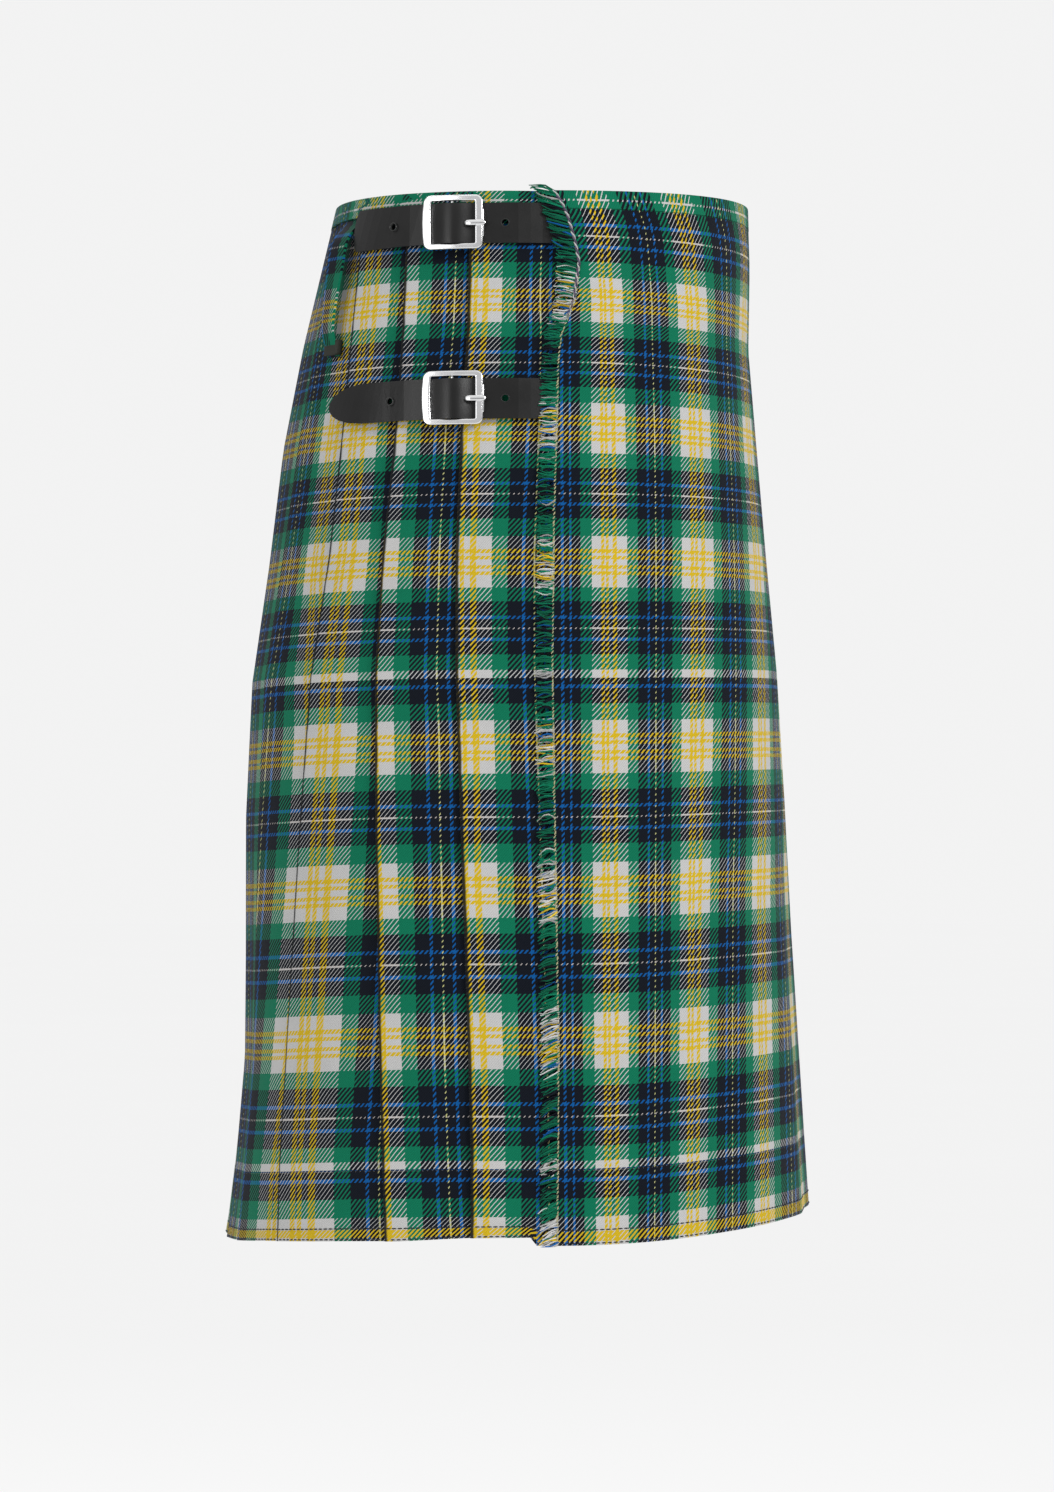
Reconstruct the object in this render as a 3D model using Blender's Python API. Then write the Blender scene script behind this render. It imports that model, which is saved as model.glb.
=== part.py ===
"""Kilt in its worn form: a wrapped length of tartan with knife pleats across the back, a flat over
apron with a fringed edge, and leather straps with buckles at the hips. Metres, +Z up. The wearer faces
-Y, so the wearer's right hip is at -X. The origin is the middle of the waist, level with the top edge
at the hips."""

import functools
import math

import bpy
import numpy as np

# Cloth
WALL = 0.0011
LAYER_GAP = 0.0006
LAYER_PITCH = WALL + LAYER_GAP
LENGTH = 0.610
SEAM = 0.0003
BAND_HEIGHT = 0.0104
BAND_WALL = 0.0014
BAND_PROUD = 0.0002
BAND_TUCK = 0.0036  # how far in the waistband's inner end lies, under the free edge
PANEL_TOP = BAND_HEIGHT + SEAM
TUCK_SHARE = 0.72  # how deep each pleat's under layer runs, as a share of the width that shows
TUCK_MOST = 0.034

# The outside of the worn cloth at each depth below the waist: how far it reaches back and front from the
# middle, half its width, how much higher a row of the weave lies at the front than at the sides, and how
# much lower at the back.
SECTION_COLUMNS = ("depth", "back", "front", "half_width", "rise", "fall")
SECTIONS = (
    (0.00, 0.1239, 0.1239, 0.1450, 0.0000, 0.0000),
    (0.03, 0.1320, 0.1250, 0.1480, -0.0045, 0.0035),
    (0.08, 0.1445, 0.1242, 0.1530, -0.0050, 0.0050),
    (0.14, 0.1563, 0.1290, 0.1600, -0.0025, 0.0050),
    (0.21, 0.1644, 0.1348, 0.1670, 0.0000, 0.0040),
    (0.28, 0.1744, 0.1413, 0.1730, 0.0020, 0.0042),
    (0.36, 0.1783, 0.1459, 0.1790, 0.0042, 0.0050),
    (0.44, 0.1783, 0.1491, 0.1850, 0.0064, 0.0068),
    (0.50, 0.1788, 0.1523, 0.1895, 0.0083, 0.0078),
    (0.56, 0.1843, 0.1557, 0.1940, 0.0106, 0.0082),
    (0.61, 0.1905, 0.1587, 0.1980, 0.0131, 0.0092),
)
SECTION_POWER = 2.5  # 2 would be an ellipse; more is squarer
RISE_POWER = 2
FALL_POWER = 3
DIRECTION_REACH = 0.002  # half the stretch of outline that its direction is read over

# Fold edges of the pleats as turns round the body: 0 is the right side, 0.25 the centre back and 0.5 the
# left side.
FOLD_COLUMNS = ("depth", "fold_1", "fold_2", "fold_3", "fold_4", "fold_last")
FOLDS = (
    (0.00, 0.0480, 0.0935, 0.1370, 0.180, 0.520),
    (0.08, 0.0454, 0.0870, 0.1273, 0.172, 0.519),
    (0.14, 0.0463, 0.0855, 0.1234, 0.171, 0.518),
    (0.21, 0.0468, 0.0885, 0.1253, 0.177, 0.519),
    (0.28, 0.0446, 0.0880, 0.1304, 0.181, 0.521),
    (0.36, 0.0411, 0.0852, 0.1334, 0.180, 0.522),
    (0.44, 0.0381, 0.0825, 0.1388, 0.185, 0.523),
    (0.50, 0.0359, 0.0804, 0.1425, 0.188, 0.524),
    (0.56, 0.0337, 0.0765, 0.1412, 0.186, 0.525),
    (0.61, 0.0328, 0.0729, 0.1362, 0.181, 0.526),
)
PLEATS = 12
PLACED_FOLDS = 4  # the folds that the table places one by one
FOLD_SWAY = 0.0022  # unevenness of the folds between the placed ones, in turns

# The over apron's free edge: how far in front of the right side it lies, and how far it stands out from
# the pleats.
EDGE_COLUMNS = ("depth", "ahead", "lift")
EDGE = (
    (0.000, 0.0061, 0.0016),
    (0.006, 0.0102, 0.0020),
    (0.015, 0.0142, 0.0030),
    (0.030, 0.0183, 0.0042),
    (0.042, 0.0206, 0.0042),
    (0.064, 0.0177, 0.0032),
    (0.085, 0.0101, 0.0022),
    (0.100, 0.0084, 0.0018),
    (0.150, 0.0070, 0.0016),
    (0.200, 0.0056, 0.0003),
    (0.280, 0.0049, 0.0000),
    (0.360, 0.0061, 0.0000),
    (0.440, 0.0074, 0.0000),
    (0.500, 0.0083, 0.0000),
    (0.610, 0.0076, 0.0000),
)
LIFT_REACH = 0.060  # the lift dies away this far from the edge
OVER_RISE = 0.070  # how far round the over apron takes to come out to the full outline
UNDER_GAP = 0.0012
STRAP_ROOM = 0.0030  # further in at the left hip, where the strap lies between the aprons
PLEAT_DEPTHS = (PANEL_TOP, 0.045, 0.100, 0.170, 0.250, 0.340, 0.440, 0.530, LENGTH)
BAND_DEPTHS = (0.0, 0.006, BAND_HEIGHT)
SLIT_DEPTHS = (0.0140, 0.0390)  # the slit in the over apron that the left strap comes out through
SLIT_AHEAD = (0.018, 0.030)  # its sides, in front of the last fold
EDGE_DEPTHS = tuple(row[0] for row in EDGE if row[0] > PANEL_TOP)
APRON_DEPTHS = tuple(sorted((PANEL_TOP, *SLIT_DEPTHS, *EDGE_DEPTHS)))

# Fringe
FRINGE_ROOT = 0.0022
FRINGE_LENGTH = 0.0090
STRANDS = 96
STRAND_SHARE = 0.5  # how much of each strand's room along the edge it fills

# Leather straps and buckles. Positions along a strap count from its buckle's middle bar, towards the front.
STRAP_HALF_WIDTH = 0.0118
STRAP_HALF_WALL = 0.0011
BUCKLE_BACK = 0.0520  # from the side seam line back to the buckle's middle bar
UPPER_STRAP_DEPTH = 0.0190
LOWER_STRAP_DEPTH = 0.1218
LEFT_STRAP_DEPTH = 0.0265
# From each strap's sewn end to its buckle: (ahead of the buckle, how far out its middle lies).
SEWN_UNDER_OVER_APRON = (
    (0.0770, -0.0018),
    (0.0680, -0.0018),
    (0.0600, -0.0018),
    (0.0520, -0.0012),
    (0.0450, 0.0000),
    (0.0380, 0.0011),
    (0.0300, 0.0018),
    (0.0220, 0.0018),
)
SEWN_TO_UNDER_APRON = (
    (0.1140, -0.0038),
    (0.1065, -0.0044),
    (0.0985, -0.0050),
    (0.0925, -0.0028),
    (0.0865, -0.0008),
    (0.0780, 0.0012),
    (0.0700, 0.0018),
    (0.0540, 0.0018),
    (0.0380, 0.0018),
    (0.0260, 0.0018),
)
HOLE_RADIUS = 0.0020
FRAME_HALF_LENGTH = 0.0160
FRAME_HALF_HEIGHT = 0.0142
FRAME_BOW = 0.0022
FRAME_BAR = 0.0040
FRAME_WALL = 0.0026
FRAME_OUT = 0.00525
FRAME_TILT = -0.0395  # the frame stands further out at its back end
RIB_HALF_LENGTH = 0.0085  # the raised rib on the outer side of the front bar
RIB_HALF_SIZE = (0.0009, 0.0008)
BAR_RADIUS = 0.0009
BAR_OUT = 0.0028
FIT = 0.0003
TONGUE_WALL = 0.0012
TONGUE_WIDTH = 0.0024
LOOP_RADIUS = BAR_RADIUS + FIT + TONGUE_WALL / 2
CHAPE_HALF_WIDTH = 0.0105
CHAPE_BACK = 0.021
STRAP_HUMP = 0.0066  # how far out the strap's middle rides over the middle bar
STRAP_FLAT = 0.0018
STRAP_REAR = 0.0032  # over the chape
PUNCHED = (-0.0376, 0.0306)
TONGUE_SLOT = 0.0062
TONGUE_SLOT_HALF = (0.0033, 0.0017)

# Belt loops
BELT_LOOP_TOP = 0.0118
BELT_LOOP_LENGTH = 0.084
BELT_LOOP_STAND = 0.0080
BELT_LOOP_HALF = 0.0085
BELT_LOOP_WALL = 0.0016
BELT_LOOP_BACK = {1: 0.1360, -1: 0.1470}  # from the side round to the loop's middle, at each hip
# Shares of the loop's length and stand-off, from its top end to its bottom end.
BELT_LOOP_COLUMNS = ("down", "stand")
BELT_LOOP_PATH = (
    (0.000, 0.00),
    (0.040, 0.06),
    (0.090, 0.70),
    (0.170, 1.00),
    (0.500, 1.00),
    (0.790, 0.90),
    (0.905, 0.55),
    (0.965, 0.10),
    (1.000, 0.00),
)


def column(table, names, name, depth):
    """One named column of a table at a depth."""
    rows = np.array(table)
    return float(np.interp(depth, rows[:, 0], rows[:, names.index(name)]))


def section(name, depth):
    return column(SECTIONS, SECTION_COLUMNS, name, depth)


@functools.lru_cache(maxsize=None)
def ring(depth):
    """Lengths along the worn outline from the right side, with its points, at one depth."""
    back, front, half = (section(name, depth) for name in ("back", "front", "half_width"))
    angle = np.linspace(-math.pi, 2 * math.pi, 2161)
    power = 2 / SECTION_POWER
    x = -half * np.sign(np.cos(angle)) * np.abs(np.cos(angle)) ** power
    y = np.sign(np.sin(angle)) * np.abs(np.sin(angle)) ** power
    y = y * np.where(y > 0, back, front)
    lengths = np.concatenate([[0], np.cumsum(np.hypot(np.diff(x), np.diff(y)))])
    return lengths - lengths[720], x, y


@functools.lru_cache(maxsize=None)
def quarters(depth):
    """Turns at the quarter marks and the lengths along the outline to them."""
    lengths = ring(depth)[0]
    return np.arange(-2, 5) / 4, lengths[::360]


def along(depth, turn):
    """Length along the outline from the right side to a turn."""
    turns, lengths = quarters(depth)
    return float(np.interp(turn, turns, lengths))


def place(depth, length, out):
    """The point at a length along the outline, moved outwards."""
    lengths, xs, ys = ring(depth)
    x, y = np.interp(length, lengths, xs), np.interp(length, lengths, ys)
    ends = (length - DIRECTION_REACH, length + DIRECTION_REACH)
    run_x, run_y = (float(np.diff(np.interp(ends, lengths, values))[0]) for values in (xs, ys))
    size = math.hypot(run_x, run_y)
    if y < 0:
        lift = section("rise", depth) * (y / section("front", depth)) ** RISE_POWER
    else:
        lift = -section("fall", depth) * (y / section("back", depth)) ** FALL_POWER
    return (x - out * run_y / size, y + out * run_x / size, lift - depth)


def fold_turn(number, depth):
    """Turn of one pleat's fold edge."""
    if number <= PLACED_FOLDS:
        return column(FOLDS, FOLD_COLUMNS, f"fold_{number}", depth)
    first = column(FOLDS, FOLD_COLUMNS, f"fold_{PLACED_FOLDS}", depth)
    last = column(FOLDS, FOLD_COLUMNS, "fold_last", depth)
    share = (number - PLACED_FOLDS) / (PLEATS - PLACED_FOLDS)
    sway = FOLD_SWAY * math.sin(2.3 * number + 7 * depth) * math.sin(math.pi * share) * depth / LENGTH
    return first + (last - first) * share + sway


def edge_length(depth):
    """Length along the outline of the over apron's free edge."""
    return -column(EDGE, EDGE_COLUMNS, "ahead", depth)


def fold_length(number, depth):
    return edge_length(depth) if number == 0 else along(depth, fold_turn(number, depth))


def shown_width(number, depth):
    return fold_length(number, depth) - fold_length(number - 1, depth)


def tuck(number, depth):
    """How far a pleat's under layer runs back from its fold edge."""
    return min(TUCK_SHARE * shown_width(max(number, 1), depth), TUCK_MOST)


def slope_of(number, depth):
    """How fast a pleat's face rises towards its fold edge."""
    return 2 * LAYER_PITCH / shown_width(number, depth)


def under_face(number, depth, before):
    """How far out the layer that comes from under a pleat lies, at a distance before its fold edge."""
    steep = slope_of(number, depth) if number else 0.0
    return -WALL / 2 - 2 * LAYER_PITCH - steep * before


def pleat_face(depth, length):
    """How far out the pleats' outer side lies at a length along the outline."""
    number = next(n for n in range(1, PLEATS + 1) if fold_length(n, depth) > length)
    return -slope_of(number, depth) * (fold_length(number, depth) - length)


def signed_volume(points, faces):
    total = 0.0
    for face in faces:
        for second, third in zip(face[1:-1], face[2:]):
            total += float(np.dot(points[face[0]], np.cross(points[second], points[third])))
    return total


def material(name, colour, roughness, metallic):
    made = bpy.data.materials.new(name)
    made.use_nodes = True
    shader = made.node_tree.nodes["Principled BSDF"]
    shader.inputs["Base Color"].default_value = (*colour, 1.0)
    shader.inputs["Roughness"].default_value = roughness
    shader.inputs["Metallic"].default_value = metallic
    made.diffuse_color = (*colour, 1.0)
    return made


def put(name, points, faces, look, sharp=35):
    """Adds a closed mesh as an object, with its faces turned outwards."""
    points = np.array(points, float)
    if signed_volume(points, faces) < 0:
        faces = [tuple(reversed(face)) for face in faces]
    mesh = bpy.data.meshes.new(name)
    mesh.from_pydata(points.tolist(), [], faces)
    mesh.shade_smooth()
    mesh.set_sharp_from_angle(angle=math.radians(sharp))
    mesh.materials.append(look)
    made = bpy.data.objects.new(name, mesh)
    bpy.context.scene.collection.objects.link(made)
    return made


def sheet(name, outer, inner, look, gone=()):
    """A closed sheet from two equal grids of points. Cells in gone are left open, with walls round them."""
    outer, inner = np.array(outer, float), np.array(inner, float)
    rows, cols = outer.shape[:2]
    points = np.concatenate([outer.reshape(-1, 3), inner.reshape(-1, 3)])
    behind = rows * cols
    kept = {(r, c) for r in range(rows - 1) for c in range(cols - 1)} - set(gone)
    faces = []
    for r, c in sorted(kept):
        a, b, d, e = r * cols + c, r * cols + c + 1, (r + 1) * cols + c + 1, (r + 1) * cols + c
        faces.append((a, b, d, e))
        faces.append((e + behind, d + behind, b + behind, a + behind))
        for (first, second), beside in (
            ((b, a), (r - 1, c)),
            ((d, b), (r, c + 1)),
            ((e, d), (r + 1, c)),
            ((a, e), (r, c - 1)),
        ):
            if beside not in kept:
                faces.append((first, second, second + behind, first + behind))
    used = sorted({index for face in faces for index in face})
    number = {old: new for new, old in enumerate(used)}
    return put(name, points[used], [tuple(number[index] for index in face) for face in faces], look)


def layer(path, wall, at):
    """The two faces of a strip along a path of (along, out) pairs, through at(along, out)."""
    path = np.array(path, float)
    run = np.gradient(path, axis=0)
    run[1:-1] = path[2:] - path[:-2]
    side = np.stack([-run[:, 1], run[:, 0]], 1) / np.hypot(run[:, 0], run[:, 1])[:, None]
    return (
        [at(*point) for point in path + side * wall / 2],
        [at(*point) for point in path - side * wall / 2],
    )


def cloth(name, depths, path_at, look, gone=()):
    """A cloth piece from its path of (length, out) pairs at each depth."""
    outer, inner = [], []
    for depth in depths:
        upper, lower = layer(path_at(depth), WALL, lambda length, out, d=depth: place(d, length, out))
        outer.append(upper)
        inner.append(lower)
    return sheet(name, outer, inner, look, gone)


def pleat_path(number, depth):
    """One knife pleat: its face from under the pleat ahead to the fold edge, and back under itself."""
    edge = fold_length(number, depth)
    width = shown_width(number, depth)
    under, ahead = tuck(number, depth), tuck(number - 1, depth)
    steep = slope_of(number, depth)
    nose = LAYER_PITCH / 2
    reach = nose + WALL / 2
    path = [
        (edge - width - before, under_face(number - 1, depth, before))
        for before in (ahead - SEAM, ahead / 2)
    ]
    face = (width, width * 0.62, width * 0.3, reach)
    path += [(edge - before, -WALL / 2 - steep * before) for before in face]
    middle = -WALL / 2 - nose - steep * reach
    path += [
        (edge - reach + nose * math.cos(angle), middle + nose * math.sin(angle))
        for angle in (math.radians(45), 0.0, math.radians(-45))
    ]
    back = (reach, under / 2, under - SEAM)
    path += [(edge - before, -WALL / 2 - LAYER_PITCH - steep * before) for before in back]
    return path


def smooth(share):
    share = min(max(share, 0.0), 1.0)
    return share * share * (3 - 2 * share)


def over_apron_path(depth):
    """From under the last pleat at the left hip, round the front, to the free edge at the right hip."""
    fold = fold_length(PLEATS, depth)
    around = quarters(depth)[1][-1]
    edge = edge_length(depth) + around
    before = tuck(PLEATS, depth) - SEAM
    lift = column(EDGE, EDGE_COLUMNS, "lift", depth)
    places = [fold - before, fold - before / 2, fold, fold + SLIT_AHEAD[0], fold + SLIT_AHEAD[1]]
    places += list(np.linspace(fold + 0.045, edge - 0.075, 18))
    places += [edge - 0.058, edge - 0.044, edge - 0.031, edge - 0.019, edge - 0.009, edge]
    path = []
    for at in places:
        if at < fold:
            out = under_face(PLEATS, depth, fold - at)
        else:
            out = -WALL / 2 - 2 * LAYER_PITCH * (1 - smooth((at - fold) / OVER_RISE))
        out += lift * smooth(1 - (edge - at) / LIFT_REACH)
        path.append((at, out))
    return path


def under_apron_path(depth):
    """From its free edge at the left hip, behind the over apron, to the first pleat at the right hip."""
    around = quarters(depth)[1][-1]
    start = fold_length(PLEATS, depth) + 0.010
    first = fold_length(1, depth)
    end = around + first - shown_width(1, depth) - tuck(0, depth)
    over = -WALL / 2 - 2 * LAYER_PITCH
    path = []
    for at in np.linspace(start, end, 20):
        left = over * (1 - smooth((at - start) / (OVER_RISE + 0.012)))
        right = (over + WALL / 2 + WALL + UNDER_GAP) * (1 - smooth((end - at) / OVER_RISE))
        room = STRAP_ROOM * smooth(1 - (at - start) / OVER_RISE)
        path.append((at, min(left, -WALL / 2) - WALL - UNDER_GAP - room + right))
    return path


def band_path(depth):
    """The waistband, from its inner end under the free edge, right round to its outer end."""
    around = quarters(depth)[1][-1]
    edge = edge_length(depth)
    middle = BAND_PROUD - BAND_WALL / 2
    lift = column(EDGE, EDGE_COLUMNS, "lift", depth)
    path = []
    places = [edge - 0.030, edge - 0.012, edge + 0.004, edge + 0.018, edge + 0.032]
    places += list(np.linspace(edge + 0.052, around + edge - 0.058, 34))
    places += [around + edge - 0.040, around + edge - 0.024, around + edge - 0.010, around + edge]
    for at in places:
        out = middle - BAND_TUCK * (1 - smooth((at - edge - 0.002) / 0.032))
        path.append((at, out + lift * smooth(1 - (around + edge - at) / LIFT_REACH)))
    return path


def waistband(look):
    outer, inner = [], []
    for depth in BAND_DEPTHS:
        upper, lower = layer(band_path(depth), BAND_WALL, lambda length, out, d=depth: place(d, length, out))
        outer.append(upper)
        inner.append(lower)
    return sheet("waistband", outer, inner, look)


def fringe(look):
    """A narrow strip beside the free edge, with loose strands that point back from it."""
    pitch = LENGTH / STRANDS
    points, faces = [], []
    rows = 2 * STRANDS + 1

    def corners(depth, beyond, thick, rise=0.0, up=0.0):
        edge = edge_length(depth)
        middle = -WALL / 2 + column(EDGE, EDGE_COLUMNS, "lift", depth)
        return [
            place(depth - up, edge + beyond, middle + rise + thick / 2),
            place(depth - up, edge + beyond, middle + rise - thick / 2),
        ]

    for row in range(rows):
        depth = (row // 2 + row % 2 * STRAND_SHARE) * pitch
        points += corners(depth, SEAM, WALL) + corners(depth, SEAM + FRINGE_ROOT, WALL)
    for row in range(rows - 1):
        a, b = 4 * row, 4 * row + 4
        faces += [(a, b, b + 2, a + 2), (a + 1, a + 3, b + 3, b + 1), (a, a + 1, b + 1, b)]
        if row % 2:
            faces.append((a + 2, b + 2, b + 3, a + 3))
    faces += [(0, 2, 3, 1), (4 * rows - 4, 4 * rows - 3, 4 * rows - 1, 4 * rows - 2)]
    for strand in range(STRANDS):
        row = 2 * strand
        depth = strand * pitch
        top_share = smooth(1 - depth / 0.10)
        sway = 0.0011 * math.sin(5.1 * strand) + 0.0006 * math.sin(1.7 * strand + 1)
        previous = [4 * row + 2, 4 * row + 6, 4 * row + 7, 4 * row + 3]
        for share, shrink in ((0.5, 0.85), (1.0, 0.6)):
            reach = SEAM + FRINGE_ROOT + share * (FRINGE_LENGTH + 0.0012 * math.sin(3.3 * strand))
            up = share * (sway + 0.0035 * top_share)
            rise = share * (0.0006 + 0.0008 * top_share) + 0.0002 * math.sin(2.9 * strand)
            half = pitch * STRAND_SHARE / 2 * shrink
            middle = depth + pitch * STRAND_SHARE / 2
            base = len(points)
            for offset in (-half, half):
                points += corners(middle + offset, reach, WALL * shrink, rise, up)
            current = [base, base + 2, base + 3, base + 1]
            for side in range(4):
                following = (side + 1) % 4
                faces.append((previous[side], previous[following], current[following], current[side]))
            previous = current
        faces.append(tuple(previous))
    return put("fringe", points, faces, look)


# Straps, buckles and loops are shaped in a local frame on the hip: (towards the front, up, out).


def hip_point(depth, back, side):
    """A function from (ahead, up, out) to the world, at the right hip (side 1) or mirrored (-1)."""

    def at(ahead, up, out):
        x, y, z = place(depth - up, back - ahead, out)
        return (side * x, y, z)

    return at


def sweep(path, axis, profile, closed=False):
    """A solid along a flat path square to axis: profile gives (sideways, along axis) pairs."""
    path, axis = np.array(path, float), np.array(axis, float)
    count = len(path)
    after = np.roll(path, -1, axis=0) - path
    after /= np.linalg.norm(after, axis=1)[:, None]
    before = np.roll(after, 1, axis=0)
    if not closed:
        before[0], after[-1] = after[0], before[-1]
    run = before + after
    run /= np.linalg.norm(run, axis=1)[:, None]
    mitre = np.clip(np.sum(run * after, axis=1), 0.5, 1.0)
    side = np.cross(run, axis) / mitre[:, None]
    points = [p + u * s + v * axis for p, s in zip(path, side) for u, v in profile]
    size = len(profile)
    faces = []
    for i in range(count if closed else count - 1):
        a, b = i * size, (i + 1) % count * size
        for j in range(size):
            k = (j + 1) % size
            faces.append((a + j, a + k, b + k, b + j))
    if not closed:
        faces += [tuple(reversed(range(size))), tuple((count - 1) * size + j for j in range(size))]
    return points, faces


def circle(radius, sides, phase=0.5):
    turns = [2 * math.pi * (i + phase) / sides for i in range(sides)]
    return [(radius * math.cos(turn), radius * math.sin(turn)) for turn in turns]


def bent(name, parts, at, look):
    """Puts a swept solid on the hip."""
    points, faces = parts
    return put(name, [at(*point) for point in points], faces, look)


def boolean(target, tool, operation):
    tool.hide_render = True
    tool.display_type = "WIRE"
    made = target.modifiers.new(operation.title(), "BOOLEAN")
    made.operation = operation
    made.object = tool
    made.solver = "EXACT"


def frame_out(ahead):
    """How far out the middle of the buckle frame lies."""
    return FRAME_OUT + FRAME_TILT * ahead


def buckle_frame(name, at, look):
    """A rounded frame whose back bar bows outwards, with a dropped middle bar that the tongue turns on."""
    half_bar = FRAME_BAR / 2
    long, tall, corner = FRAME_HALF_LENGTH, FRAME_HALF_HEIGHT, 0.0032

    def round_corner(turn, side):
        angle = math.radians(turn)
        return (long - corner + corner * math.cos(angle), side * (tall - corner) + corner * math.sin(angle))

    path = [round_corner(turn, -1) for turn in (-80, -45, -10)]
    path += [(long, -tall / 2), (long, 0.0), (long, tall / 2)]
    path += [round_corner(turn, 1) for turn in (10, 45, 80)]
    path += [(long / 2, tall), (0.0, tall), (-long / 2, tall)]
    bowed = np.linspace(tall * 0.97, -tall * 0.97, 7)
    path += [(-long - FRAME_BOW * (1 - (up / tall) ** 2), up) for up in bowed]
    path += [(-long / 2, -tall), (0.0, -tall), (long / 2, -tall)]
    half_wall = FRAME_WALL / 2
    edge = 0.0007
    section = [
        (half_bar - edge, -half_wall),
        (half_bar, -half_wall + edge),
        (half_bar, half_wall - edge),
        (half_bar - edge, half_wall),
        (edge - half_bar, half_wall),
        (-half_bar, half_wall - edge),
        (-half_bar, edge - half_wall),
        (edge - half_bar, -half_wall),
    ]
    points, faces = sweep([(a, u, 0.0) for a, u in path], (0, 0, 1), section, closed=True)
    points = [(a, u, out + frame_out(a)) for a, u, out in points]
    frame = put(name, [at(*point) for point in points], faces, look)
    bar_path = [(0.0, -tall, FRAME_OUT), (0.0, -tall, BAR_OUT), (0.0, tall, BAR_OUT), (0.0, tall, FRAME_OUT)]
    points, faces = sweep(bar_path, (1, 0, 0), circle(BAR_RADIUS, 8))
    bar = put(f"{name}_bar_shape", [at(*point) for point in points], faces, look)
    boolean(frame, bar, "UNION")
    rib_at = long + half_bar + 0.0006
    rib_path = [(rib_at, side * RIB_HALF_LENGTH, frame_out(rib_at) - 0.0002) for side in (-1, 1)]
    across, thick = RIB_HALF_SIZE
    rib_profile = [(across, thick), (across, -thick), (-across, -thick), (-across, thick)]
    points, faces = sweep(rib_path, (1, 0, 0), rib_profile)
    rib = put(f"{name}_rib_shape", [at(*point) for point in points], faces, look)
    boolean(frame, rib, "UNION")
    return frame


def strap_out(ahead):
    """Middle of the strap's wall: over the buckle's middle bar, under its end bars, flat elsewhere."""
    reach = 0.0150
    if abs(ahead) <= reach:
        end = STRAP_FLAT if ahead > 0 else STRAP_REAR
        return end + (STRAP_HUMP - end) * (1 + math.cos(math.pi * ahead / reach)) / 2
    return STRAP_FLAT + (STRAP_REAR - STRAP_FLAT) * (1 - smooth((-ahead - 0.025) / 0.014))


def strap(name, at, look, sewn, tail, point):
    """A strap from its sewn end, ahead of the buckle, to its tail, which narrows over a length of point."""
    places = list(np.linspace(0.015, -0.015, 13))
    places += list(np.linspace(-0.019, -tail + point, 8))
    places += [point * share - tail for share in (0.78, 0.5, 0.28, 0.12, 0.03, 0.0)]
    outer, inner = [], []
    for sign in (-1, 1):
        path = list(sewn) + [(ahead, strap_out(ahead)) for ahead in places]
        widths = []
        for place_ahead, _ in path:
            share = min((place_ahead + tail) / point, 1.0)
            widths.append(STRAP_HALF_WIDTH * max(1 - (1 - share) ** 2.2, 0.0) ** 0.5)
        widths[-1] = STRAP_HALF_WIDTH * 0.12
        upper, lower = layer(path, 2 * STRAP_HALF_WALL, lambda length, out: (length, out))
        outer.append([at(a, sign * w, out) for (a, out), w in zip(lower, widths)])
        inner.append([at(a, sign * w, out) for (a, out), w in zip(upper, widths)])
    return sheet(name, outer, inner, look)


def punch(target, at, places, half_length, half_width, look):
    """Cuts a row of holes through a strap: round ones, or slots where half_length is the larger."""
    points, faces = [], []
    for ahead in places:
        base = len(points)
        sides = 12
        for out in (-0.006, 0.012):
            for step in range(sides):
                turn = 2 * math.pi * (step + 0.5) / sides
                points.append(at(ahead + half_length * math.cos(turn), half_width * math.sin(turn), out))
        for step in range(sides):
            following = (step + 1) % sides
            faces.append((base + step, base + following, base + sides + following, base + sides + step))
        faces += [
            tuple(base + step for step in reversed(range(sides))),
            tuple(base + sides + step for step in range(sides)),
        ]
    tool = put(f"{target.name}_punch_{round(half_length * 10000)}", points, faces, look)
    boolean(target, tool, "DIFFERENCE")


def tongue(name, at, look):
    """The buckle's prong: a loop round the middle bar, then through the strap and onto the front bar."""
    path = []
    for turn in range(0, 271, 30):
        angle = math.radians(360 - turn)
        path.append((LOOP_RADIUS * math.cos(angle), BAR_OUT + LOOP_RADIUS * math.sin(angle)))
    path += [(0.0030, 0.0041), (0.0055, 0.0045), (0.0082, 0.0055)]
    path += [(0.0115, 0.0066), (0.0150, 0.0070), (0.0190, 0.0069)]
    half_wall, half_width = TONGUE_WALL / 2, TONGUE_WIDTH / 2
    edge = 0.0003
    section = [
        (half_wall, -half_width + edge),
        (half_wall, half_width - edge),
        (half_wall - edge, half_width),
        (edge - half_wall, half_width),
        (-half_wall, half_width - edge),
        (-half_wall, edge - half_width),
        (edge - half_wall, -half_width),
        (half_wall - edge, -half_width),
    ]
    return bent(name, sweep([(a, 0.0, out) for a, out in path], (0, 1, 0), section), at, look)


def chape(name, at, look):
    """The leather tab round the middle bar: flat under the strap, with a slot for the tongue's loop."""
    radius = LOOP_RADIUS
    path = [(-CHAPE_BACK * share, BAR_OUT - radius) for share in (1, 2 / 3, 1 / 3)]
    for turn in range(-90, 151, 30):
        angle = math.radians(turn)
        path.append((radius * math.cos(angle), BAR_OUT + radius * math.sin(angle)))
    half = TONGUE_WIDTH / 2 + 0.0006
    outer, inner = [], []
    for up in (-CHAPE_HALF_WIDTH, -half, half, CHAPE_HALF_WIDTH):
        upper, lower = layer(path, TONGUE_WALL, lambda length, out: (length, out))
        outer.append([at(a, up, out) for a, out in lower])
        inner.append([at(a, up, out) for a, out in upper])
    return sheet(name, outer, inner, look, gone={(1, c) for c in range(2, len(path) - 1)})


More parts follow.
